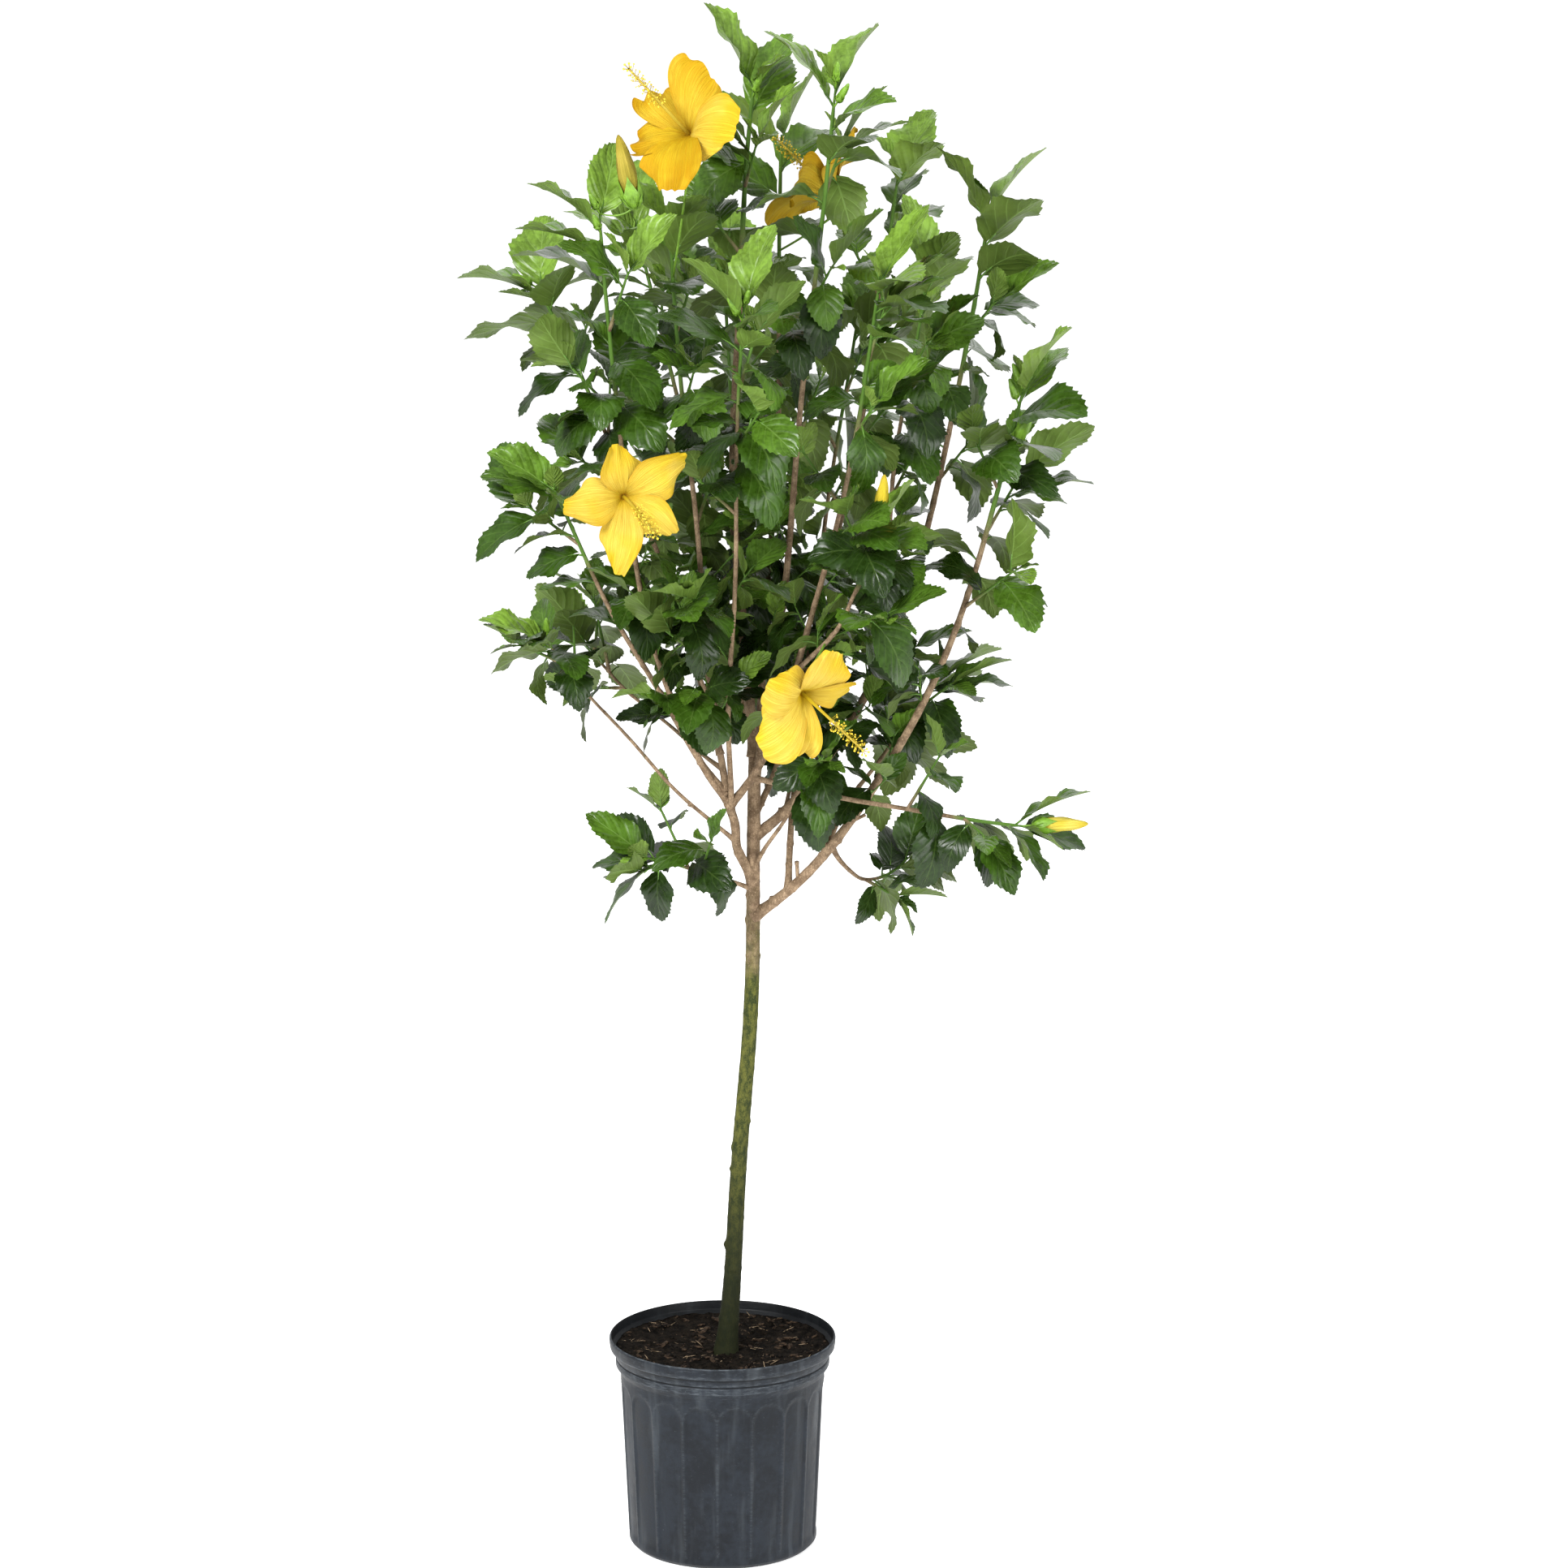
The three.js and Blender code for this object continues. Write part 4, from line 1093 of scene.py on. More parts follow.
def petal_material(name, colour, deep, pale, golden=None):
    """Streaked petal, with a painted highlight of its pale colour over its middle and in soft patches. Where
    its golden attribute rises, its colour goes over to the deep gold colour, partly as painted shade, if that
    colour is given.
    """
    paint = Paint(name)
    streaks = paint.group(streak_group())
    along = streaks["Along"]
    body = colour
    if golden is not None:
        # The attribute's share gives the bloom its gold and, between its petals, painted shade.
        share = paint.attribute("golden")
        body = paint.blend(share, colour, golden)
        pale = paint.blend(share, pale, colour)
    tint = paint.blend(paint.between(along, 0.02, 0.14), deep, body)
    # Painted highlight: the pale lit colour over the middle of the petal.
    middle = paint.times(paint.between(along, 0.1, 0.3), paint.between(along, 0.95, 0.4))
    tint = paint.blend(paint.times(middle, 0.5), tint, pale)
    tint = paint.blend(paint.between(streaks["Aside"], 0.72, 1.0, end=0.32), tint, deep)
    # Painted highlight: soft patches of the pale lit colour.
    soft = paint.noise(paint.object_place(), 24.0, detail=2.0)
    tint = paint.blend(paint.between(soft, 0.42, 0.66, end=0.6), tint, pale)
    return paint.finish(
        base_color=paint.blend(paint.times(streaks["Streaks"], 0.42), tint, deep),
        roughness=0.55,
        specular=0.1,
        normal=paint.bump(streaks["Streaks"], strength=0.7, distance=0.001),
    )


def plain_material(name, dark, light, scale, roughness=0.6, bump=0.3, specular=0.5):
    """Two close tones in patches, for small parts."""
    paint = Paint(name)
    patches = paint.mottle(paint.object_place(), scale, dark, light)
    return paint.finish(
        base_color=patches["Color"],
        roughness=roughness,
        specular=specular,
        normal=paint.bump(patches["Height"], strength=bump, distance=0.0006),
    )


def pot_material(settings):
    """Dull moulded plastic with chalky scuffs on its rings, pale lines on its ribs and ring crests that are
    partly wear and partly painted highlight, and painted shade in its creases and inside.
    """
    paint = Paint("pot_plastic_worn")
    place = paint.object_place()
    plastic = settings.plastic_colour
    base = paint.mottle(place, 20.0, toned(plastic, 0.6), toned(plastic, 1.3))
    drips = paint.noise(paint.stretched(place, 0.12), 46.0, detail=3.0)
    colour = paint.blend(paint.between(drips, 0.5, 0.72, end=0.34), base["Color"], settings.scuff_colour)
    scratches = paint.noise(paint.stretched(place, 5.0), 95.0, detail=6.0, roughness=0.72)
    on_rings = paint.between(paint.height_of(place), 0.186, 0.212)
    ring_scuffs = paint.times(paint.between(scratches, 0.52, 0.7), paint.times(on_rings, 0.36))
    colour = paint.blend(ring_scuffs, colour, settings.scuff_colour)
    specks = paint.noise(place, 420.0, detail=2.0, roughness=0.7)
    colour = paint.blend(paint.between(specks, 0.66, 0.8, end=0.4), colour, settings.scuff_colour)
    # Above 0 a painted highlight, with some wear, on ribs and ring crests; below 0 painted shade in creases and
    # inside.
    raised = paint.attribute("raised")
    # Painted highlight, partly wear: pale scratchy lines on the ribs and ring crests.
    rubbed_highlight = paint.times(raised, paint.between(scratches, 0.4, 0.62, start=0.08, end=0.6))
    colour = paint.blend(rubbed_highlight, colour, toned(settings.scuff_colour, 1.5))
    # Painted shade: the creases under the rings and the inside of the pot go near-black.
    colour = paint.blend(paint.between(raised, -0.1, -0.9, end=0.8), colour, settings.crease_colour)
    return paint.finish(
        base_color=colour,
        roughness=paint.between(base["Height"], 0.3, 0.7, start=0.42, end=0.6),
        specular=0.2,
        normal=paint.bump(paint.plus(paint.times(specks, 0.4), scratches), strength=0.3, distance=0.0006),
    )


def colour_setting(name, description, default):
    return bpy.props.FloatVectorProperty(name=name, description=description, default=default, subtype="COLOR")


def length_setting(name, description, default):
    return bpy.props.FloatProperty(name=name, description=description, default=default, unit="LENGTH")


def count_setting(name, description, default):
    return bpy.props.IntProperty(name=name, description=description, default=default)


class StageSettings(bpy.types.PropertyGroup):
    """The floor, the light and the camera."""

    floor_colour: colour_setting("Floor", "Colour of the floor", (0.9, 0.9, 0.9))
    floor_glow: bpy.props.FloatProperty(
        name="Floor glow", description="Light that the floor gives off, as a lit sweep does", default=0.66
    )
    camera_place: bpy.props.FloatVectorProperty(
        name="Camera", description="The camera's place", default=(0.069, -6.0, 2.2), subtype="TRANSLATION"
    )
    camera_pitch: bpy.props.FloatProperty(
        name="Pitch", description="How far it looks down", default=math.radians(12.47), subtype="ANGLE"
    )
    lens: bpy.props.FloatProperty(
        name="Lens", description="Focal length on a 36 mm wide sensor", default=128.57, unit="CAMERA"
    )
    key_power: bpy.props.FloatProperty(
        name="Key light", description="Power of the light at the front left", default=250.0, subtype="POWER"
    )
    sky: bpy.props.FloatProperty(name="Sky", description="Strength of the even white light", default=0.58)


class PotSettings(bpy.types.PropertyGroup):
    """The nursery pot, sized from the frame, and its soil."""

    rim_radius: length_setting("Rim radius", "Half the pot's width at its rim", POT_BOX[1][0])
    height: length_setting("Height", "The pot's height", POT_BOX[1][2])
    flutes: count_setting("Flutes", "Arched panels round the pot", 18)
    flute_depth: length_setting("Flute depth", "How far a panel is sunk", 0.0014)
    plastic_colour: colour_setting("Plastic", "Colour of the plastic", (0.0112, 0.0145, 0.0198))
    scuff_colour: colour_setting("Scuffs", "Colour of chalky scuffs", (0.085, 0.098, 0.11))
    # Painted shade colour, put in the creases and on the inside of the pot.
    crease_colour: colour_setting("Creases", "Colour of creases and of the inside", (0.0015, 0.002, 0.0025))
    soil_level: length_setting("Soil level", "Height of the soil's surface", 0.2215)
    soil_dark: colour_setting("Soil", "Dark tone of the soil", (0.0012, 0.001, 0.0008))
    soil_light: colour_setting("Dry soil", "Light tone of the soil", (0.014, 0.0105, 0.0075))
    chips: count_setting("Crumbs", "Crumbs tried on the soil, with half as many bark chips", 1500)
    fibres: count_setting("Fibres", "Pale fibres tried on the soil", 420)


class BarkSettings(bpy.types.PropertyGroup):
    """Bark of the trunk and the boughs, and the green of young stems."""

    dark: colour_setting("Dark bark", "Dark tone", (0.15, 0.098, 0.058))
    light: colour_setting("Light bark", "Light tone", (0.38, 0.27, 0.17))
    moss_dark: colour_setting("Dark moss", "Dark tone of the mossy trunk", (0.018, 0.03, 0.0065))
    moss_light: colour_setting("Light moss", "Light tone of the mossy trunk", (0.112, 0.116, 0.022))
    green: colour_setting("Young stem", "Colour of young stems", (0.075, 0.16, 0.02))
    trunk_sides: count_setting("Trunk sides", "Points round the trunk", 28)
    node_gap: length_setting("Leaf scars", "Distance between old leaf scars", 0.036)


class LeafSettings(bpy.types.PropertyGroup):
    """The leaves, in five tones."""

    deep: colour_setting("Deep", "Darkest leaves", (0.0115, 0.032, 0.0015))
    dark: colour_setting("Dark", "Dark leaves", (0.028, 0.071, 0.003))
    middle: colour_setting("Middle", "Middle leaves", (0.059, 0.131, 0.0085))
    bright: colour_setting("Bright", "Bright leaves", (0.102, 0.206, 0.018))
    young: colour_setting("Young", "Young leaves at the tips", (0.155, 0.275, 0.03))
    underside_colour: colour_setting("Underside", "The leaves' paler back", (0.15, 0.215, 0.04))
    vein_colour: colour_setting("Veins", "Colour of the veins", (0.24, 0.38, 0.09))
    gloss: bpy.props.FloatProperty(
        name="Roughness", description="Roughness of the glossy side", default=0.24, subtype="FACTOR"
    )
    stalk_radius: length_setting("Stalk radius", "Half the width of a leaf stalk", 0.0009)


class BloomSettings(bpy.types.PropertyGroup):
    """The open blooms and the buds."""

    petal: colour_setting("Petal", "Petal colour", (0.61, 0.445, 0.018))
    petal_deep: colour_setting("Throat", "Golden colour in throat and veins", (0.47, 0.215, 0.002))
    petal_pale: colour_setting("Pale petal", "Lit part of a petal", (0.70, 0.54, 0.11))
    # This deep gold also serves as painted shade on the less lit petals.
    petal_golden: colour_setting("Golden petal", "Colour of the most golden petals", (0.42, 0.235, 0.003))
    pollen: colour_setting("Pollen", "Colour of the anthers", (0.86, 0.62, 0.06))
    calyx: colour_setting("Calyx", "Colour of calyx and green buds", (0.13, 0.25, 0.022))


def settings_of(context):
    return context.scene.hibiscus


class HibiscusSettings(bpy.types.PropertyGroup):
    """Everything that can be set on the plant."""

    stage: bpy.props.PointerProperty(type=StageSettings, name="Stage", description="Floor, light and camera")
    pot: bpy.props.PointerProperty(type=PotSettings, name="Pot", description="Pot and soil")
    bark: bpy.props.PointerProperty(type=BarkSettings, name="Bark", description="Trunk, boughs and stems")
    leaf: bpy.props.PointerProperty(type=LeafSettings, name="Leaves", description="Leaves")
    bloom: bpy.props.PointerProperty(type=BloomSettings, name="Blooms", description="Blooms and buds")


# Each light's place, its width, and its power as a share of the key light's
LIGHTS = {
    "key_light": ((-2.2, -3.4, 3.6), 1.8, 1),
    "fill_light": ((3.0, -3.0, 2.2), 2.6, 0.45),
    "back_light": ((0.6, 3.4, 3.2), 3.4, 0.16),
}
PLANT_MIDDLE = (0.03, 0, 1.0)
FLOOR_HALF = 60


class HIBISCUS_OT_stage(bpy.types.Operator):
    """Makes the pale floor, the soft studio light and the camera"""

    bl_idname = "hibiscus.stage"
    bl_label = "Stage"

    def execute(self, context):
        settings = settings_of(context).stage
        bm = bmesh.new()
        bmesh.ops.create_grid(bm, x_segments=4, y_segments=4, size=FLOOR_HALF)
        mesh = mesh_from(bm, "floor")
        paint = Paint("pale_floor")
        tone = paint.between(paint.noise(paint.object_place(), 0.6, detail=2.0), 0.3, 0.7, start=0.98)
        colour = paint.blend(1.0, settings.floor_colour, tone, "MULTIPLY")
        glow = {"emission_color": colour, "emission_strength": settings.floor_glow}
        mesh.materials.append(paint.finish(base_color=colour, roughness=0.9, specular=0.1, **glow))
        floor = bpy.data.objects.new("floor", mesh)
        context.scene.collection.objects.link(floor)

        world = bpy.data.worlds.new("studio")
        world.use_nodes = True
        background = world.node_tree.nodes["Background"]
        background.inputs["Color"].default_value = (1, 1, 1, 1)
        background.inputs["Strength"].default_value = settings.sky
        context.scene.world = world
        for name, (place, size, share) in LIGHTS.items():
            self.add_light(context, name, place, size, settings.key_power * share)

        camera = bpy.data.objects.new("camera", bpy.data.cameras.new("camera"))
        camera.location = settings.camera_place
        camera.rotation_euler = (math.pi / 2 - settings.camera_pitch, 0, 0)
        camera.data.sensor_width = 36
        camera.data.lens = settings.lens
        camera.data.clip_end = 200
        context.scene.collection.objects.link(camera)
        context.scene.camera = camera
        context.scene.view_settings.view_transform = "Standard"
        return {"FINISHED"}

    @staticmethod
    def add_light(context, name, place, size, power):
        """A round soft light that is aimed at the middle of the plant."""
        data = bpy.data.lights.new(name, "AREA")
        data.shape = "DISK"
        data.size = size
        data.energy = power
        lamp = bpy.data.objects.new(name, data)
        lamp.location = place
        aim = Vector(PLANT_MIDDLE) - lamp.location
        lamp.rotation_euler = aim.to_track_quat("-Z", "Y").to_euler()
        context.scene.collection.objects.link(lamp)


# The pot's rings and wall, as on its frame node, in millimetres, its underside, lifted inside a ring, and the
# rounding of the rings that turn by more than the least turn, in degrees
POT = SimpleNamespace(
    base_radius=105.5,
    shoulder_radius=114.5,
    neck_radius=121.5,
    bead_radius=120,
    lip_height=13,
    neck_height=11,
    bead_height=8,
    shoulder_drop=8,
    base_bevel=5,
    wall=2.6,
    floor=3,
    inner_ledge=118.2,
    lift=1.2,
    foot_ring=(22, 18),
    rounding=0.9,
    least_turn=12,
)
# Each arched panel in the pot's wall: its share of a flute, how far up it goes, and how it is sunk and ribbed
FLUTE = SimpleNamespace(
    share=0.93,
    top=193,
    arch_drop=2,
    foot=9,
    foot_fade=8,
    edge=2.6,
    first=-2.5,
    columns=24,
    rows=76,
    ridge=0.35,
    rib=-1.3,
    rib_width=1.3,
    # The strength of the painted highlight on the ribs, and the widths of the painted highlight lines on the
    # crests and of the painted shade lines in the creases
    rub=0.3,
    crest_width=0.6,
    crease_width=0.9,
)
# The soil's own section under its surface, and how its surface rises to the wall and lies in clods. Each kind
# of clod has its height, its breadth and the level at which its noise is read.
SOIL = SimpleNamespace(
    edge=119.2,
    side=((0, 6), (101, 6), (111, 196), (117.5, 221)),
    rings=46,
    columns=132,
    rise=6.5,
    clods=((2.6, 17, 0), (2.6, 7, 9)),
    grains=(1.4, 3, 4),
    flatter_at_wall=0.5,
)
# What lies on the soil: its tones, how deep it is sunk, its sizes, and its width and height as shares
LITTER = {
    "soil_crumbs": SimpleNamespace(
        dark=(0.001, 0.0008, 0.0006), light=(0.016, 0.0115, 0.008), sunk=0.45, sizes=(1.2, 6.5),
        shape=(0.8, 0.75),
    ),
    "bark_chips": SimpleNamespace(
        dark=(0.008, 0.005, 0.0032), light=(0.075, 0.048, 0.03), sunk=0.3, sizes=(1.6, 17.0),
        shape=(0.42, 0.2),
    ),
    "pale_fibres": SimpleNamespace(
        dark=(0.06, 0.042, 0.025), light=(0.42, 0.31, 0.2), sunk=0.2, sizes=(3.5, 26),
        shape=(0.05, 0.04),
    ),
}
# How it lies: off the wall, in patches with bare soil between, and each bit astray in width, tilt and lumps
LITTER_LIE = SimpleNamespace(
    margin=3, patch=20, patchiness=(-0.4, 0.35), widths=(0.7, 1.3), tilt=0.7, lumps=0.35, lump_scale=1.7
)


def spun(profile, steps):
    """A closed shell from a profile of (radius, height) that starts and ends on the axis."""
    bm = bmesh.new()
    verts = [bm.verts.new((radius * MM, 0, height * MM)) for radius, height in profile]
    edges = [bm.edges.new(pair) for pair in zip(verts, verts[1:])]
    bmesh.ops.spin(bm, geom=verts + edges, cent=(0, 0, 0), axis=(0, 0, 1), angle=2 * math.pi, steps=steps,
                   use_merge=True)
    bmesh.ops.remove_doubles(bm, verts=bm.verts, dist=1e-5)
    bmesh.ops.recalc_face_normals(bm, faces=bm.faces)
    return bm


def ring_edges(bm, least_angle):
    """The level rings of a spun shell at which its wall turns by more than an angle."""
    rings = []
    for edge in bm.edges:
        ends = [vert.co for vert in edge.verts]
        level = abs(ends[0].z - ends[1].z) < 1e-6 and abs(ends[0].xy.length - ends[1].xy.length) < 1e-6
        if level and len(edge.link_faces) == 2 and edge.calc_face_angle(0) > math.radians(least_angle):
            rings.append(edge)
    return rings


class HIBISCUS_OT_pot(bpy.types.Operator):
    """Makes the nursery pot, with its rings and its arched flutes"""

    bl_idname = "hibiscus.pot"
    bl_label = "Pot"

    def execute(self, context):
        settings = settings_of(context).pot
        rim, top = settings.rim_radius / MM, settings.height / MM
        lip = top - POT.lip_height
        neck = lip - POT.neck_height
        bead = neck - POT.bead_height
        shoulder = bead - POT.shoulder_drop
        base, ledge = POT.base_radius, POT.inner_ledge
        outside = [
            (0, POT.lift), (base - POT.foot_ring[0], POT.lift), (base - POT.foot_ring[1], 0),
            (base - POT.base_bevel, 0), (base, POT.base_bevel), (POT.shoulder_radius, shoulder),
            (POT.bead_radius, bead), (POT.bead_radius, neck - 1.5), (POT.bead_radius - 1.6, neck),
            (POT.neck_radius - 1.4, neck + 1.5), (POT.neck_radius, lip - 2.0), (rim - 1.2, lip),
            (rim - 0.4, lip + 5), (rim, top - 2.2), (rim - 1.0, top),
        ]
        inside = [
            (rim - POT.wall, top), (rim - POT.wall - 0.6, lip + 3), (POT.neck_radius - POT.wall, lip - 1),
            (ledge, neck + 2), (ledge - 1.5, neck - 1), (POT.shoulder_radius - POT.wall, shoulder),
            (base - POT.wall, POT.floor), (0, POT.floor),
        ]
        bm = spun(outside + inside, settings.flutes * FLUTE.columns)
        bmesh.ops.bevel(bm, geom=ring_edges(bm, POT.least_turn), affect="EDGES", offset=POT.rounding * MM,
                        segments=2, profile=0.5, material=-1)
        walls = [edge for edge in bm.edges if self.is_wall(edge, shoulder)]
        bmesh.ops.subdivide_edges(bm, edges=walls, cuts=FLUTE.rows, use_grid_fill=True)
        # Heights of the painted highlight lines on the ring crests, and of the painted shade lines in the
        # creases under the rings.
        crests = (top - 0.4, lip + 0.3, neck + 1.9, neck - 1.7, bead + 0.3)
        creases = (lip - 2.2, neck + 0.1, bead - 1.8)
        raised = self.sink_flutes(bm, settings, crests, creases)
        mesh = mesh_from(bm, "pot_fluted")
        attribute = mesh.attributes.new("raised", "FLOAT", "POINT")
        attribute.data.foreach_set("value", raised)
        piece = placed(mesh, pot_material(settings))
        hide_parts("pot")
        return {"FINISHED"}

    @staticmethod
    def is_wall(edge, shoulder):
        """Whether an edge runs up the outside of the body."""
        low, high = sorted((vert.co for vert in edge.verts), key=lambda place: place.z)
        outer = low.xy.length > (POT.base_radius - 1.5) * MM
        return outer and high.z - low.z > 0.5 * shoulder * MM

    @staticmethod
    def sink_flutes(bm, settings, crests, creases):
        """Sinks the panels. Says for each point the painted highlight, with some wear, on ribs and ring crests,
        and the painted shade, below 0, in creases and on the inside.
        """
        flute = math.tau / settings.flutes
        depth = settings.flute_depth / MM
        raised = []
        bm.normal_update()
        for vert in bm.verts:
            radius = vert.co.xy.length / MM
            height = vert.co.z / MM
            rub = 0.0
            if radius > POT.base_radius - 1.0 and FLUTE.foot < height < FLUTE.top:
                turn = math.atan2(vert.co.x, -vert.co.y) - math.radians(FLUTE.first)
                aside = (turn % flute - flute / 2) * radius
                reach = FLUTE.share * flute / 2 * radius
                above = max(0.0, height - (FLUTE.top - reach - FLUTE.arch_drop))
                within = reach - math.hypot(aside, above)
                foot = float(smooth(FLUTE.foot, FLUTE.foot + FLUTE.foot_fade, height))
                sink = depth * float(smooth(0, FLUTE.edge, within)) * foot
                rib = bell(within - FLUTE.rib, FLUTE.rib_width) * foot
                vert.co.xy *= (radius - sink + FLUTE.ridge * rib) / radius
                # A painted highlight, with some wear, along each rib.
                rub = FLUTE.rub * rib
            elif height > FLUTE.top:
                # Painted highlight lines on the ring crests, less painted shade lines in the creases.
                rub = max(bell(height - crest, FLUTE.crest_width) for crest in crests)
                rub -= max(bell(height - crease, FLUTE.crease_width) for crease in creases)
            # The inside is marked for painted shade.
            inside = height > FLUTE.foot and vert.normal.xy.dot(vert.co.xy) < 0
            raised.append(-1.0 if inside else rub)
        return raised


class HIBISCUS_OT_soil(bpy.types.Operator):
    """Makes the potting soil, with clods, bark chips and fibres on it"""

    bl_idname = "hibiscus.soil"
    bl_label = "Soil"

    def execute(self, context):
        settings = settings_of(context).pot
        level = settings.soil_level / MM
        rings = [(SOIL.edge * i / SOIL.rings, level) for i in range(SOIL.rings, 0, -1)]
        bm = spun([*SOIL.side, *rings, (0, level)], SOIL.columns)
        for vert in bm.verts:
            if vert.co.z > (level - 1) * MM:
                vert.co.z = self.surface(vert.co.x / MM, vert.co.y / MM, level) * MM
        damp = plain_material(
            "damp_soil", settings.soil_dark, settings.soil_light, scale=110.0, roughness=0.95, bump=1.0,
            specular=0.05,
        )
        piece = placed(mesh_from(bm, "soil_surface"), damp)
        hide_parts("potting_soil")
        counts = (settings.chips, settings.chips // 2, settings.fibres)
        draw = seeded(SEED)
        for (name, litter), count in zip(LITTER.items(), counts):
            heap = Heap()
            self.scatter(heap, litter, count, level, draw)
            matter = plain_material(
                name + "_matter", litter.dark, litter.light, scale=300.0, roughness=0.85, bump=0.5,
                specular=0.12,
            )
            piece = heap.piece(name, matter)
        return {"FINISHED"}

    @staticmethod
    def surface(x, y, level):
        """The height of the soil: a dish that rises to the wall, with clods and grains."""
        out = math.hypot(x, y) / SOIL.edge
        clods = sum(depth * noise.noise(Vector((x, y, at)) / breadth) for depth, breadth, at in SOIL.clods)
        depth, breadth, at = SOIL.grains
        grains = depth * noise.noise(Vector((x, y, at)) / breadth)
        return level + SOIL.rise * out**2 + clods * (1 - SOIL.flatter_at_wall * out**6) + grains

    def scatter(self, heap, litter, count, level, draw):
        """Lays lumpy bits on the soil in patches, each turned and tilted its own way."""
        points, faces = ball_shape(1)
        for _ in range(count):
            out = (SOIL.edge - LITTER_LIE.margin) * math.sqrt(draw())
            turn = math.tau * draw()
            x, y = out * math.cos(turn), out * math.sin(turn)
            patch = noise.noise(Vector((x, y, LITTER_LIE.patch)) / LITTER_LIE.patch)
            if patch < mix(LITTER_LIE.patchiness, draw()):
                continue
            half = mix(litter.sizes, draw() ** 3) / 2
            width, height = litter.shape
            scale = np.array([half, half * width * mix(LITTER_LIE.widths, draw()), half * height])
            tilt = Matrix.Rotation(math.tau * draw(), 3, "Z")
            tilt = tilt @ Matrix.Rotation(LITTER_LIE.tilt * (draw() - 0.5), 3, "Y")
            here = Vector((x, y, 0))
            lumps = np.array([noise.noise(Vector(p) * LITTER_LIE.lump_scale + here) for p in points])
            rise = self.surface(x, y, level) + scale[2] * (1 - 2 * litter.sunk)
            shape = points * (1 + LITTER_LIE.lumps * lumps)[:, None] * scale
            heap.add(shape @ np.array(tilt).T + (x, y, rise), faces)


# A limb's relief: a collar at its foot, and a ring and a bud scar at each old leaf. Heights are shares of its
# radius, and lengths are in millimetres.
COLLAR = SimpleNamespace(swell=0.6, reach=11)
SCAR = SimpleNamespace(stray=5, stray_turn=7.0, half_height=2.4, ring=0.07, bud=0.3, bud_half_turn=0.55)
# Each layer of uneven growth: how often it turns round the limb, its length and its depth as a share
UNEVEN = ((1.6, 9, 0.055), (3.5, 3, 0.035))
# The trunk's own relief: fainter scars, ribs that fade up from the foot, and a few knots
TRUNK_RELIEF = SimpleNamespace(
    steps=300,
    from_share=0.02,
    scar_spacing=62,
    scar_depth=0.55,
    ribs=3,
    rib_turn=0.6,
    rib_depth=0.5,
    rib_foot=215,
    rib_fade=70,
    knots=9,
    knot_sow=5,
    knot_heights=(290, 860),
    knot_depths=(1.2, 3.0),
    knot_half_height=4.5,
    knot_half_turn=0.42,
)


def limb_bark(limb, spacing, order):
    """The relief of one limb: a collar at its foot, old leaf scars with a ring at each, and uneven growth."""
    stem = limb.stem
    swell = 0 if limb.name == "trunk" else COLLAR.swell * limb.radius_at(0)

    def relief(t, turn, radius):
        place = t * stem.length
        added = np.zeros_like(t)
        for i in range(1, int(stem.length / spacing)):
            middle = i * spacing + SCAR.stray * math.sin(SCAR.stray_turn * i + order)
            off = (turn - (i * GOLDEN_TURN + order)) % math.tau
            off = np.minimum(off, math.tau - off)
            scar = SCAR.ring + SCAR.bud * bell(off, SCAR.bud_half_turn)
            added += bell(place - middle, SCAR.half_height) * scar
        points = stem.point(t)
        rough = np.array([
            sum(noise.noise(Vector((a * turns, b * turns, p[2] / rise + order))) * depth
                for turns, rise, depth in UNEVEN)
            for a, b, p in zip(np.cos(turn), np.sin(turn), points)
        ])
        return swell * np.exp(-place / COLLAR.reach) + (added + rough) * radius

    return relief


def trunk_bark(trunk):
    """The trunk's relief: its scars, a few knots, and ribs that fade up from the foot."""
    rule = TRUNK_RELIEF
    scars = limb_bark(trunk, rule.scar_spacing, 0)

    def relief(t, turn, radius):
        height = trunk.stem.point(t)[:, 2]
        added = rule.scar_depth * scars(t, turn, radius)
        ribs = np.cos(rule.ribs * turn + rule.rib_turn) * np.exp(-(height - rule.rib_foot) / rule.rib_fade)
        added += rule.rib_depth * ribs
        draw = seeded(SEED + rule.knot_sow)
        for _ in range(rule.knots):
            at = mix(rule.knot_heights, draw())
            side = math.tau * draw()
            off = np.abs((turn - side + math.pi) % math.tau - math.pi)
            bulge = bell(height - at, rule.knot_half_height) * bell(off, rule.knot_half_turn)
            added += mix(rule.knot_depths, draw()) * bulge
        return added

    return relief


class HIBISCUS_OT_trunk(bpy.types.Operator):
    """Makes the trunk with its bark"""

    bl_idname = "hibiscus.trunk"
    bl_label = "Trunk"

    def execute(self, context):
        settings = settings_of(context).bark
        trunk = grown_plant().stems["trunk"]
        heap = Heap()
        add_tube(heap, trunk.stem, trunk.radius_at, settings.trunk_sides, TRUNK_RELIEF.steps,
                 start=TRUNK_RELIEF.from_share, bark=trunk_bark(trunk))
        material = bark_material("trunk_bark_mossy", settings, mossy=True)
        piece = heap.piece("trunk_with_bark", material, "young")
        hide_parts("trunk")
        return {"FINISHED"}


# How a bough is drawn: its ring spacing, where on its leader it turns green, and how its tip is drawn in
BOUGH = SimpleNamespace(sides=12, step=4.5, green_from=0.25, green_over=0.25, tip_from=0.97, tip_taper=0.6)
# How a stub leans, out from its bough, along it and up, and how its cut end swells
STUB = SimpleNamespace(sides=9, steps=10, lean=(0.8, 0.7, 0.3), swell=0.3, swell_places=(0.8, 0.95))
# The swellings along a side shoot, and a leaf's stalk
KNUCKLE = SimpleNamespace(spacing=19, half_length=1.8, swell=0.22)
STALK = SimpleNamespace(sides=4, steps=3, bend=0.6, rise=0.03, past=0.05, widths=(0.8, 1.15), full_leaf=80)


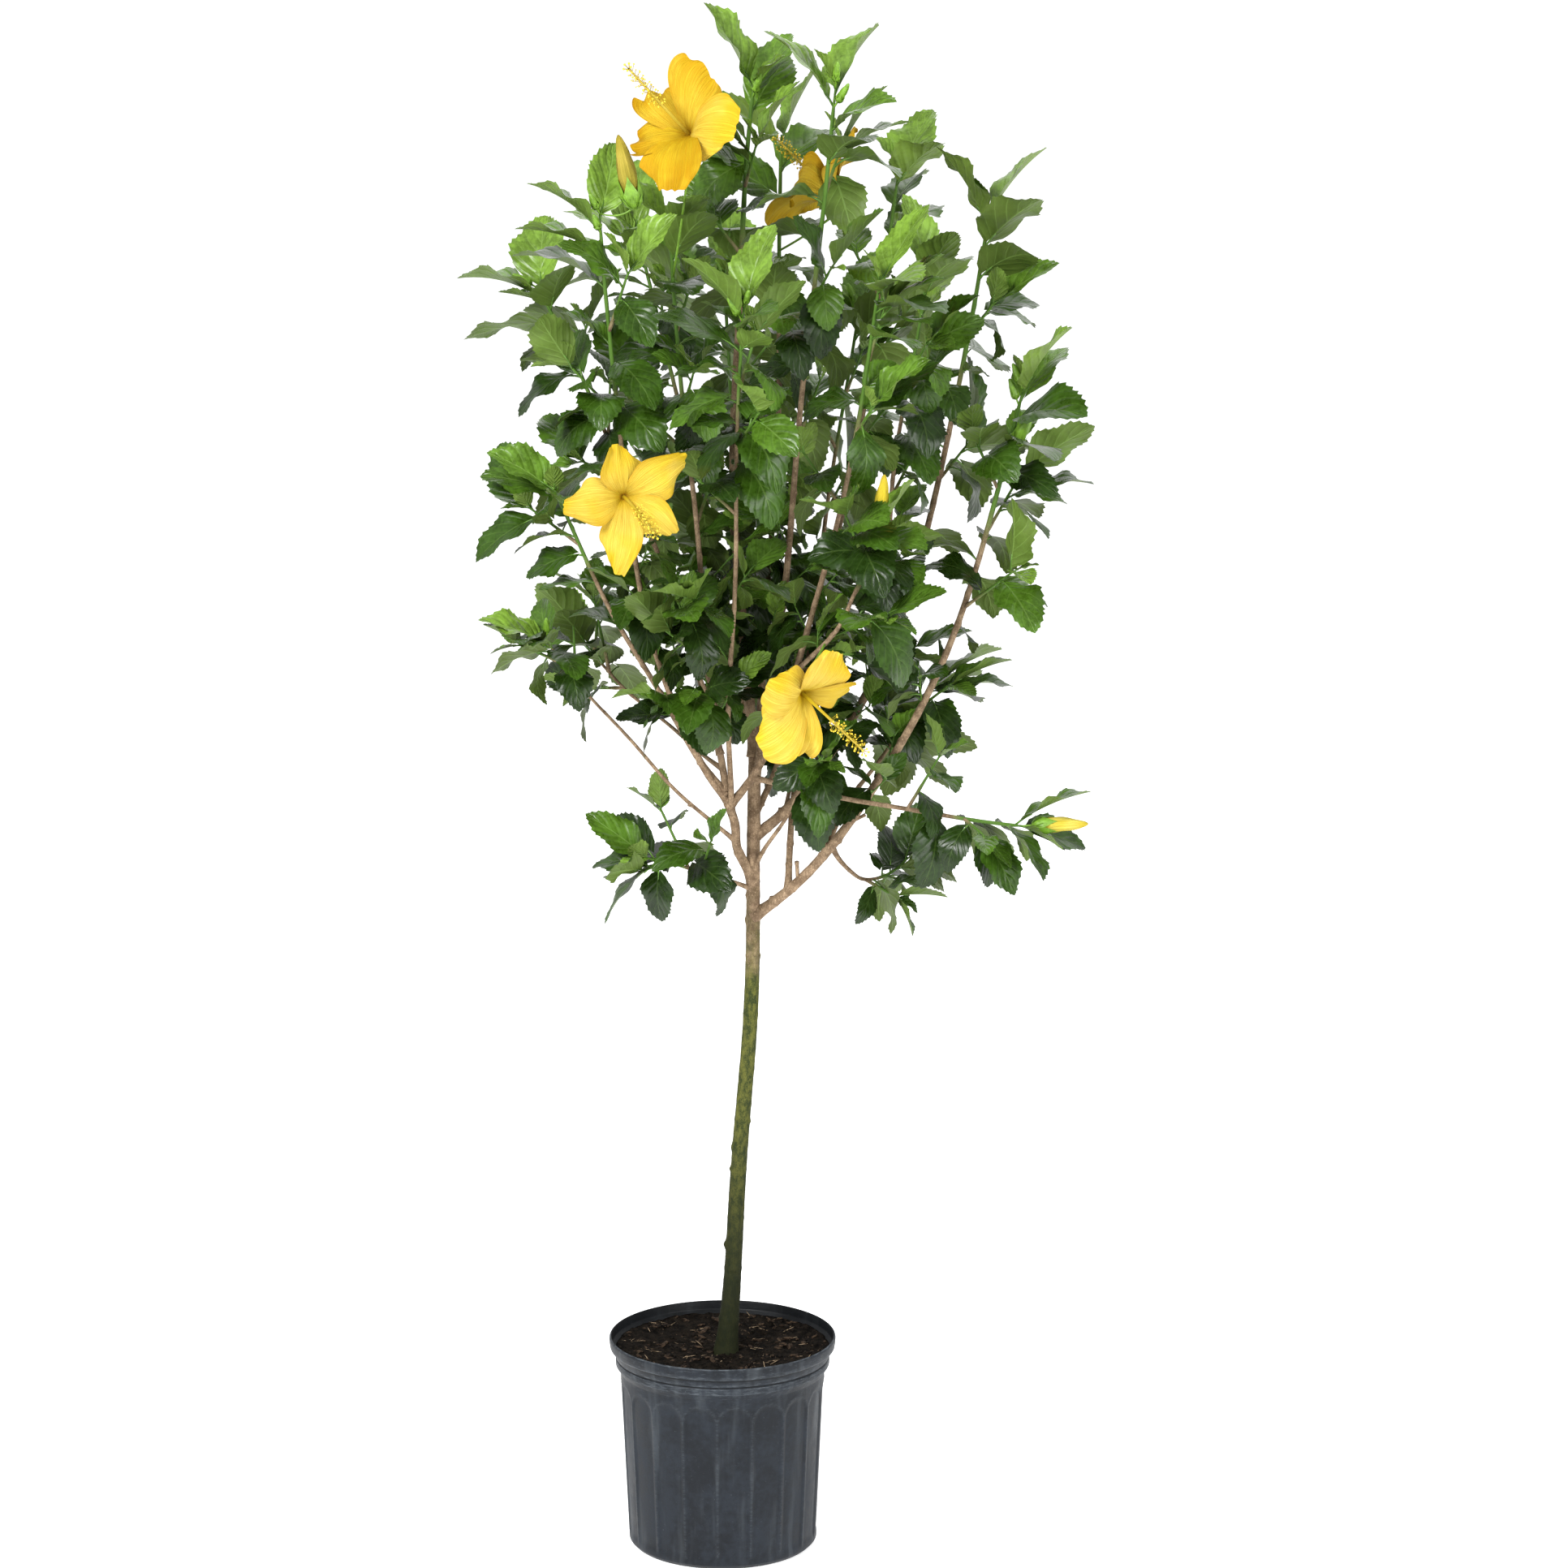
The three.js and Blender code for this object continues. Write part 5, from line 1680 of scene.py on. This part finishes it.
class HIBISCUS_OT_boughs(bpy.types.Operator):
    """Makes every bough and the leader it goes on as, from brown bark to green"""

    bl_idname = "hibiscus.boughs"
    bl_label = "Boughs"

    def execute(self, context):
        settings = settings_of(context).bark
        stems = grown_plant().stems
        heap = Heap()
        for limb in stems.values():
            if limb.name == "trunk":
                continue
            relief = limb_bark(limb, settings.node_gap / MM, limb.order)
            young = functools.partial(self.youth, limb)
            steps = math.ceil(limb.stem.length / BOUGH.step)
            add_tube(heap, limb.stem, self.taper(limb), BOUGH.sides, steps, value=young, bark=relief)
        for name, at, turn, length, radius in STUBS:
            self.add_stub(heap, stems[name], at, math.radians(turn), length, radius)
        piece = heap.piece("boughs_with_bark", bark_material("bough_bark_brown", settings), "young")
        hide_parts(*[f"bough_{limb.name}" for limb in LIMBS])
        return {"FINISHED"}

    @staticmethod
    def youth(limb, t):
        """0 where a limb is brown and 1 where it is green. A bough with no leader stays brown."""
        if limb.bare == 1:
            return np.zeros_like(t)
        green_from = mix((limb.bare, 1), BOUGH.green_from)
        return smooth(green_from, green_from + BOUGH.green_over, t)

    @staticmethod
    def taper(limb):
        """The limb's own taper, drawn in to a point at the very tip."""
        return lambda t: limb.radius_at(t) * (1 - BOUGH.tip_taper * smooth(BOUGH.tip_from, 1.0, t))

    @staticmethod
    def add_stub(heap, limb, at, turn, length, radius):
        """A short cut stub, with a swollen end."""
        root = limb.stem.point(at)
        axis = limb.stem.along(at)
        side = radial_of(axis, reference_for(limb.stem, 0, 1), turn)
        aside, ahead, rise = STUB.lean
        tip = root + unit(side * aside + axis * ahead + UP * rise) * (length + limb.radius_at(at))
        swell = seeded(int(length * 10))() * STUB.swell

        def radius_at(t):
            return radius * (1 + swell * smooth(*STUB.swell_places, t))

        add_tube(heap, straight(root, tip), radius_at, STUB.sides, STUB.steps)


class HIBISCUS_OT_shoots(bpy.types.Operator):
    """Makes the green side shoots, the fine twigs and the leaf stalks"""

    bl_idname = "hibiscus.shoots"
    bl_label = "Shoots and stalks"

    def execute(self, context):
        settings = settings_of(context)
        shoots, twigs, stalks = Heap(), Heap(), Heap()
        for mass in grown_plant().masses:
            for shoot in mass.shoots:
                add_tube(shoots, shoot.stem, functools.partial(mix, SHOOT.radius), 8, 10,
                         value=functools.partial(mix, (0.25, 1.1)), bark=self.knuckles(shoot.stem.length))
            for twig in mass.twigs:
                add_tube(twigs, twig.stem, functools.partial(mix, FINE.twig_radius), 5, 4, value=1.0)
            for leaf in mass.leaves:
                self.add_stalk(stalks, leaf, settings.leaf.stalk_radius / MM)
        green = bark_material("shoot_bark_green", settings.bark)
        colour = settings.bark.green
        lighter = toned(colour, 1.7)
        fresh = plain_material("stalk_green", colour, lighter, scale=60.0, roughness=0.45, bump=0.2)
        for piece in (shoots.piece("side_shoots", green, "young"), twigs.piece("fine_twigs", green, "young"),
                      stalks.piece("leaf_stalks", fresh)):
            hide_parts(*FOLIAGE)
        return {"FINISHED"}

    @staticmethod
    def knuckles(length):
        """Evenly spaced swellings along a shoot."""
        def relief(t, turn, radius):
            off = (t * length) % KNUCKLE.spacing - KNUCKLE.spacing / 2
            return KNUCKLE.swell * radius * bell(off, KNUCKLE.half_length)

        return relief

    @staticmethod
    def add_stalk(heap, leaf, radius):
        """A stalk that leaves its stem, bends over and runs on into the leaf's midrib."""
        reach = leaf.base + leaf.lay * leaf.size * STALK.past
        bend = leaf.root + (leaf.base - leaf.root) * STALK.bend + UP * leaf.size * STALK.rise
        width = radius * mix(STALK.widths, min(1, leaf.size / STALK.full_leaf))
        stem = Stem(leaf.root, bend, reach)
        add_tube(heap, stem, lambda t: width * mix((1.25, 0.8), t), STALK.sides, STALK.steps)


# A leaf blade: the shares of its length at which its rows lie, how wide it is there, its two teeth to a row,
# and how it folds, bows, waves and puffs up between its veins
BLADE = SimpleNamespace(
    stations=(0.0, 0.04, 0.12, 0.22, 0.33, 0.44, 0.55, 0.66, 0.77, 0.87, 0.945, 1.0),
    widths=(0.05, 0.52, 0.85, 0.98, 1.0, 0.97, 0.88, 0.75, 0.57, 0.37, 0.18, 0.02),
    columns=4,
    teeth=(0.035, 0.1),
    teeth_from=(0.04, 0.25),
    teeth_to=0.98,
    tooth_hook=0.2,
    lobe=0.16,
    lobe_reach=1 / 14,
    half_widths=(0.8, 1.06),
    folds=(0.7, 1.2),
    bow=0.16,
    waves=(0.02, 0.075),
    wave_turns=11,
    side_shift=1.3,
    quilt=0.006,
    quilt_turns=9.2,
    quilt_slant=0.45,
)
# Each tone of leaf, with how plainly its veins show
TONES = {"deep": 0.1, "dark": 0.15, "middle": 0.22, "bright": 0.36, "young": 0.42}
# What makes a leaf paler: its height, its youth, chance, and a place at a leader's or a twig's tip
TONE = SimpleNamespace(
    lowest=800,
    range=850,
    height=0.55,
    youth=0.36,
    chance=0.55,
    leader_tip=0.3,
    leader_age=0.2,
    small_tip=0.35,
    small=46,
    limits=(0.26, 0.52, 0.8, 1.06),
)


@functools.cache
def blade_shape():
    """A flat toothed leaf blade: aside from -1 to 1 and along from 0 to 1, with its outline's own widths."""
    rows = len(BLADE.stations) - 1
    bm = bmesh.new()
    bmesh.ops.create_grid(bm, x_segments=BLADE.columns, y_segments=rows, size=0.5)
    rim = [
        edge for edge in bm.edges
        if edge.is_boundary and abs(edge.verts[0].co.y - edge.verts[1].co.y) > 1e-4
    ]
    bmesh.ops.subdivide_edges(bm, edges=rim, cuts=len(BLADE.teeth))
    points, faces = taken_from(bm)
    aside = points[:, 0] * 2
    rows_up = (points[:, 1] + 0.5) * rows
    along = np.interp(rows_up, np.arange(rows + 1), BLADE.stations)
    width = np.interp(along, BLADE.stations, BLADE.widths)
    on_rim = np.abs(np.abs(aside) - 1) < 1e-3
    rise = rows_up - np.floor(rows_up + 1e-3)
    tooth = np.interp(rise, (0, 1 / 3, 2 / 3, 1), (0, *BLADE.teeth, 0))
    tooth = tooth * on_rim * smooth(*BLADE.teeth_from, along) * (along < BLADE.teeth_to)
    width = width + tooth * (0.5 + 0.5 * width)
    along = along + BLADE.tooth_hook * tooth
    along = along - BLADE.lobe * np.abs(aside) ** 1.5 * np.exp(-along / BLADE.lobe_reach)
    return aside, along, width, faces


def uv_of(aside, along):
    """The UV map of a flat blade or petal."""
    return np.stack([aside / 2 + 0.5, np.clip(along, 0, 1)], axis=1)


def lay_leaves(heap, leaves, draw):
    """Lays the blade along each leaf's plan: bowed along its midrib, folded, waved and quilted."""
    aside, along, width, faces = blade_shape()
    edge = np.abs(aside)
    uv = uv_of(aside, along)
    v = along[:, None]
    for leaf in leaves:
        pull = leaf.middle - (1 - LEAF.widest) ** 2 * leaf.base - LEAF.widest**2 * leaf.tip
        pull = pull / (2 * LEAF.widest * (1 - LEAF.widest))
        centre = (1 - v) ** 2 * leaf.base + 2 * v * (1 - v) * pull + v**2 * leaf.tip
        way = unit(2 * (1 - v) * (pull - leaf.base) + 2 * v * (leaf.tip - pull))
        face = np.cross(leaf.across, way)
        half = LEAF.half_width * leaf.size * mix(BLADE.half_widths, draw())
        phase = math.tau * draw()
        wave = mix(BLADE.waves, draw()) * leaf.size * width * edge**2
        wave = wave * np.sin(phase + along * BLADE.wave_turns + np.sign(aside) * BLADE.side_shift)
        lift = edge * width * half * math.tan(leaf.fold) * mix(BLADE.folds, draw())
        lift -= BLADE.bow * half * edge**2.5 * width
        quilt = np.sin(np.pi * (along - BLADE.quilt_slant * edge) * BLADE.quilt_turns) * edge * (1 - edge)
        skew = leaf.across * (aside * width * half * math.cos(leaf.fold))[:, None]
        points = centre + skew + face * (lift + wave + BLADE.quilt * leaf.size * quilt)[:, None]
        heap.add(points, faces, uv)


def tone_of(leaf, draw):
    """Which tone a leaf has: paler towards the top and the tips, and darker low down and far from a tip."""
    height = (leaf.middle[2] - TONE.lowest) / TONE.range
    score = TONE.height * height + TONE.youth * (1 - leaf.age) + TONE.chance * (draw() - 0.5)
    if leaf.on_leader and leaf.age < TONE.leader_age:
        score += TONE.leader_tip
    if leaf.fine and leaf.size < TONE.small and leaf.age == 0:
        score += TONE.small_tip
    return list(TONES)[sum(score > limit for limit in TONE.limits)]


class HIBISCUS_OT_leaves(bpy.types.Operator):
    """Makes the leaves, one piece for each tone"""

    bl_idname = "hibiscus.leaves"
    bl_label = "Leaves"

    def execute(self, context):
        settings = settings_of(context).leaf
        draw = seeded(SEED + 11)
        by_tone = {tone: [] for tone in TONES}
        for mass in grown_plant().masses:
            for leaf in mass.leaves:
                by_tone[tone_of(leaf, draw)].append(leaf)
        for tone, leaves in by_tone.items():
            heap = Heap()
            lay_leaves(heap, leaves, draw)
            material = leaf_material(f"leaf_{tone}", getattr(settings, tone), settings, TONES[tone])
            piece = heap.piece(f"leaves_{tone}", material)
            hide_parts(*FOLIAGE)
        return {"FINISHED"}


@functools.cache
def petal_shape():
    """A flat grid: aside from -1 to 1 and along from 0 to 1."""
    bm = bmesh.new()
    across, along = PETAL.grid
    bmesh.ops.create_grid(bm, x_segments=across, y_segments=along, size=0.5)
    points, faces = taken_from(bm)
    return points[:, 0] * 2, points[:, 1] + 0.5, faces


def petal_midline(length, opening, reach):
    """How far out and ahead a petal's midline is at each reach along it, and how far it has opened there."""
    steps = np.linspace(0, 1, PETAL.midline_steps + 1)
    angles = (math.radians(PETAL.throat_opening), math.radians(opening))
    angle = mix(angles, smooth(0, 1, steps) * steps**0.2)
    stride = length / PETAL.midline_steps
    out = np.concatenate([[0], np.cumsum(np.sin(angle[1:]))]) * stride
    ahead = np.concatenate([[0], np.cumsum(np.cos(angle[1:]))]) * stride
    return [np.interp(reach, steps, row) for row in (out, ahead, angle)]


def petal_lift(bloom, petal, half, phase, waves):
    """How far a petal stands off its midline: ruffles, a cup, its overlap, a sunk midrib and pleats."""
    aside, along, _ = petal_shape()
    edge = np.abs(aside)
    ruffle = bloom.ruffle * along**3 * np.sin(phase + waves * aside * math.pi) * (0.4 + 0.6 * edge)
    ruffle += PETAL.rim_waves * bloom.ruffle * along**5 * np.sin(phase * 2 + 9 * aside)
    cup = PETAL.cup * half * edge**2 * (1 - 0.9 * along)
    overlap = PETAL.overlap * aside * along + half * aside * petal.twist * smooth(0.35, 1, along)
    midrib = PETAL.midrib_depth * bell(aside, PETAL.midrib_width) * along * (1 - along)
    pleats = PETAL.pleat_depth * along * np.sin(PETAL.pleats * aside + 3 * phase)
    return ruffle + cup + overlap - midrib + pleats * (0.4 + 0.6 * np.sin(5 * aside + phase))


def lay_petal(heap, bloom, petal, draw):
    """One petal: it climbs out of the throat, opens, rolls back at the rim, and is pleated and ruffled."""
    aside, along, faces = petal_shape()
    length = BLOOM.length * petal.length
    phase = math.tau * draw()
    broad, narrow = PETAL.notches
    notches = broad * np.sin(phase + 7.3 * aside) + narrow * np.sin(2 * phase + 17 * aside)
    rim = PETAL.rim_slant * aside + notches * (bloom.ruffle / 4)
    reach = along * (1 - PETAL.rim_round * np.abs(aside) ** 2.4 * along**2 + rim * along**5)
    out, ahead, angle = petal_midline(length, petal.opening, reach)
    radial = radial_of(bloom.axis, UP, math.radians(petal.turn))
    tangent = np.cross(bloom.axis, radial)
    normal = bloom.axis * np.sin(angle)[:, None] - radial * np.cos(angle)[:, None]
    half = length * petal.width * mix((PETAL.claw, 1), np.sin(np.pi / 2 * along**1.15))
    half = half * (1 - PETAL.narrowing * along**7) * (1 - bloom.taper * smooth(0.5, 1, along))
    lift = petal_lift(bloom, petal, half, phase, mix(PETAL.waves, draw()))
    centre = bloom.throat + radial * out[:, None] + bloom.axis * ahead[:, None]
    sideways = aside * half + PETAL.sweep * half * along**2
    points = centre + tangent * sideways[:, None] + normal * lift[:, None]
    heap.add(points, faces, uv_of(aside, along), petal.golden)


def side_of(axis, turn):
    """A direction square to an axis that may also stand upright, turned round it."""
    return radial_of(axis, UP if abs(axis[2]) < 0.9 else np.array([1.0, 0, 0]), turn)


def lay_calyx(heap, root, along, length, radius, spread):
    """A green cup of pointed lobes that clasps the foot of a flower or bud, with thin bracts round it."""
    aside, v, _, faces = blade_shape()
    v = np.clip(v, 0, 1)
    pointed = np.where(v < 0.4, 1.0, (1 - v) / 0.6) * (0.6 + 0.4 * np.sin(np.pi * v))
    lobes = (CALYX.lobes, length, 0.95, spread, 0.0)
    bracts = (CALYX.bracts, length * 0.5, 0.35, spread + 0.45, -0.1)
    for count, reach, width, tilt, start in (lobes, bracts):
        half = radius * width * pointed
        out = radius * (0.35 + 0.75 * np.sin(np.pi / 2 * np.clip(v * 2.2, 0, 1)) + tilt * v**2)
        out = out + (1 - aside**2) * half * 0.3
        for i in range(count):
            radial = side_of(along, math.tau * i / count)
            tangent = np.cross(along, radial)
            points = root + along * ((v + start) * reach)[:, None]
            points = points + radial * out[:, None] + tangent * (aside * half)[:, None]
            heap.add(points, faces, uv_of(aside, v))


def lay_ball(heap, middle, axis, radius, stretch=1.0, subdivisions=1):
    """A ball that is stretched or flattened along an axis."""
    points, faces = ball_shape(subdivisions)
    side = side_of(axis, 0.0)
    turn = np.stack([side, np.cross(axis, side), axis * stretch])
    heap.add(middle + radius * (points @ turn), faces)


class HIBISCUS_OT_blooms(bpy.types.Operator):
    """Makes the open blooms: petals, columns with stamens, calyces and stalks"""

    bl_idname = "hibiscus.blooms"
    bl_label = "Blooms"

    def execute(self, context):
        tones = settings_of(context).bloom
        petals, column, anthers, green = Heap(), Heap(), Heap(), Heap()
        cup = BLOOM.length * CALYX.radius
        draw = seeded(SEED + 23)
        for bloom in grown_plant().blooms:
            for petal_plan in bloom.petals:
                lay_petal(petals, bloom, petal_plan, draw)
            self.add_column(column, anthers, bloom, draw)
            foot = bloom.throat - bloom.axis * BLOOM.foot
            lay_calyx(green, foot, bloom.axis, BLOOM.length * CALYX.length, cup, CALYX.bloom_spread)
            sag = (bloom.root + foot) / 2 - UP * BLOOM.stalk_sag
            stalk = Stem(bloom.root, sag, foot)
            add_tube(green, stalk, lambda t: BLOOM.stalk_radius * (1 + 0.5 * t**6), 7, 10)
            lay_ball(green, foot, bloom.axis, cup * 0.62, stretch=0.9, subdivisions=2)
        petal = petal_material(
            "petal_yellow", tones.petal, tones.petal_deep, tones.petal_pale, tones.petal_golden
        )
        stem = petal_material("column_yellow", tones.petal_pale, tones.petal, tones.petal_pale)
        pollen = plain_material("pollen", tones.petal, tones.pollen, scale=700.0, roughness=0.8, bump=0.6)
        lighter = toned(tones.calyx, 1.6)
        leafy = plain_material("calyx_green", tones.calyx, lighter, scale=120.0, roughness=0.5)
        petal_piece = petals.piece("petals", petal, "golden")
        petal_piece.modifiers.new("Rounder", "SUBSURF").levels = 1
        petal_piece.modifiers["Rounder"].render_levels = 1
        for piece in (petal_piece, column.piece("flower_columns", stem), anthers.piece("anthers", pollen),
                      green.piece("calyces", leafy)):
            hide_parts(*sorted({f"foliage_{bloom.mass}" for bloom in BLOOMS}))
        return {"FINISHED"}

    @staticmethod
    def add_column(column, anthers, bloom, draw):
        """The long column out of the throat, with its stamens, and its stigmas at the tip."""
        start = bloom.throat - bloom.axis * BLOOM.column_root
        tip = bloom.throat + unit(bloom.axis + np.array(bloom.column_lean)) * bloom.column
        stem = Stem(start, start + bloom.axis * bloom.column * 0.5, tip)
        add_tube(column, stem, functools.partial(mix, BLOOM.column_radius), 9, 14)
        for i in range(BLOOM.stamens):
            t = mix(BLOOM.stamen_places, (i + draw()) / BLOOM.stamens)
            root = stem.point(t)
            axis = stem.along(t)
            side = radial_of(axis, UP, i * GOLDEN_TURN + draw())
            way = unit(side + axis * mix(BLOOM.stamen_lean, draw()))
            end = root + way * mix(BLOOM.filament, draw())
            add_tube(column, straight(root, end), lambda t: BLOOM.filament_radius, 3, 1)
            size = BLOOM.anther_radius * mix(BLOOM.anther_sizes, draw())
            lay_ball(anthers, end, way, size, BLOOM.anther_stretch)
        for i in range(BLOOM.stigmas):
            side = radial_of(bloom.axis, UP, math.tau * i / BLOOM.stigmas)
            end = tip + unit(bloom.axis + side * BLOOM.stigma_lean) * BLOOM.stigma_length
            add_tube(column, straight(tip, end), lambda t: BLOOM.filament_radius * 1.6, 4, 2)
            lay_ball(anthers, end, bloom.axis, BLOOM.stigma_radius, 0.7)


# The body, the streaks and the pale part, which is painted highlight, of each colour of bud
BUD_TONES = {
    "yellow": ((0.72, 0.58, 0.09), (0.6, 0.46, 0.03), (0.74, 0.64, 0.16)),
    "orange": ((0.5, 0.37, 0.045), (0.3, 0.25, 0.03), (0.6, 0.46, 0.09)),
    "olive": ((0.3, 0.26, 0.04), (0.16, 0.17, 0.02), (0.42, 0.34, 0.08)),
}
BUD = SimpleNamespace(sides=15, steps=22, foot=0.9, twist=0.13, twist_turn=1.7, stalk_sides=6, stalk_steps=6)


class HIBISCUS_OT_buds(bpy.types.Operator):
    """Makes the closed buds, with twisted petals in a green calyx"""

    bl_idname = "hibiscus.buds"
    bl_label = "Buds"

    def execute(self, context):
        tones = settings_of(context).bloom
        stems = grown_plant().stems
        draw = seeded(SEED + 31)
        green = Heap()
        coloured = {colour: Heap() for colour in BUD_TONES}
        for bud in BUDS:
            limb = stems[bud.mass]
            root = limb.stem.point(mix((limb.bare, 1), bud.at))
            along = unit(np.array(bud.along, float))
            petals = coloured.get(bud.colour, green)
            self.add_bud(green, petals, root, np.array(bud.stalk, float), along, bud.length, bud.radius)
        spread = math.radians(SMALL_BUDS.spread)
        for name in SMALL_BUDS.limbs:
            limb = stems[name]
            for i in range(SMALL_BUDS.each):
                t = 1 - 0.02 * i
                axis = limb.stem.along(t)
                side = radial_of(axis, reference_for(limb.stem, limb.bare, 1), math.tau * draw())
                along = unit(axis * math.cos(spread) + side * math.sin(spread))
                length = mix(SMALL_BUDS.length, draw())
                stalk = along * length * SMALL_BUDS.stalk
                length *= 1 - SMALL_BUDS.stalk
                self.add_bud(green, green, limb.stem.point(t), stalk, along, length, SMALL_BUDS.radius)
        pieces = [
            heap.piece(f"buds_{colour}", petal_material(f"bud_{colour}", *BUD_TONES[colour]))
            for colour, heap in coloured.items()
        ]
        leafy = plain_material("bud_green", tones.calyx, toned(tones.calyx, 1.7), scale=160.0, roughness=0.45)
        pieces.append(green.piece("buds_green", leafy))
        for piece in pieces:
            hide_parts(*sorted({f"foliage_{bud.mass}" for bud in BUDS}))
        return {"FINISHED"}

    @staticmethod
    def add_bud(green, petals, root, stalk, along, length, radius):
        """A stalk, then a pointed spindle with a slow twist, clasped by a calyx."""
        foot = root + stalk

        def swell(t):
            return BUD.foot + (radius - BUD.foot) * np.sin(np.pi * t**0.85) ** 0.6 * (1 - 0.3 * t)

        def twist(t, turn, wide):
            return BUD.twist * wide * np.cos(5 * (turn + BUD.twist_turn * t)) * smooth(0, 0.4, t)

        add_tube(petals, straight(foot, foot + along * length), swell, BUD.sides, BUD.steps, bark=twist)
        bend = root + stalk * 0.6 - along * np.linalg.norm(stalk) * 0.3
        stem = Stem(root, bend, foot + along)
        add_tube(green, stem, functools.partial(mix, (0.9, 1.2)), BUD.stalk_sides, BUD.stalk_steps)
        lay_calyx(green, foot - along * 0.5, along, length * 0.46, radius * 0.8, CALYX.bud_spread)


class HIBISCUS_PT_panel(bpy.types.Panel):
    """The steps of the plant, in order"""

    bl_label = "Hibiscus"
    bl_space_type = "VIEW_3D"
    bl_region_type = "UI"
    bl_category = "Hibiscus"

    def draw(self, context):
        for operator in OPERATORS:
            self.layout.operator(operator.bl_idname)
        settings = settings_of(context)
        for group in (settings.stage, settings.pot, settings.bark, settings.leaf, settings.bloom):
            column = self.layout.box().column()
            for name in group.bl_rna.properties.keys():
                if name not in ("rna_type", "name"):
                    column.prop(group, name)


OPERATORS = (
    HIBISCUS_OT_stage,
    HIBISCUS_OT_pot,
    HIBISCUS_OT_soil,
    HIBISCUS_OT_trunk,
    HIBISCUS_OT_boughs,
    HIBISCUS_OT_shoots,
    HIBISCUS_OT_leaves,
    HIBISCUS_OT_blooms,
    HIBISCUS_OT_buds,
)
GROUPS = (StageSettings, PotSettings, BarkSettings, LeafSettings, BloomSettings, HibiscusSettings)


def register():
    for kind in (*GROUPS, *OPERATORS, HIBISCUS_PT_panel):
        bpy.utils.register_class(kind)
    bpy.types.Scene.hibiscus = bpy.props.PointerProperty(type=HibiscusSettings)


def unregister():
    del bpy.types.Scene.hibiscus
    for kind in reversed((*GROUPS, *OPERATORS, HIBISCUS_PT_panel)):
        bpy.utils.unregister_class(kind)


def main():
    """Makes the stage and every piece."""
    register()
    bpy.ops.hibiscus.stage()
    bpy.ops.hibiscus.pot()
    bpy.ops.hibiscus.soil()
    bpy.ops.hibiscus.trunk()
    bpy.ops.hibiscus.boughs()
    bpy.ops.hibiscus.shoots()
    bpy.ops.hibiscus.leaves()
    bpy.ops.hibiscus.blooms()
    bpy.ops.hibiscus.buds()


if __name__ == "__main__":
    main()
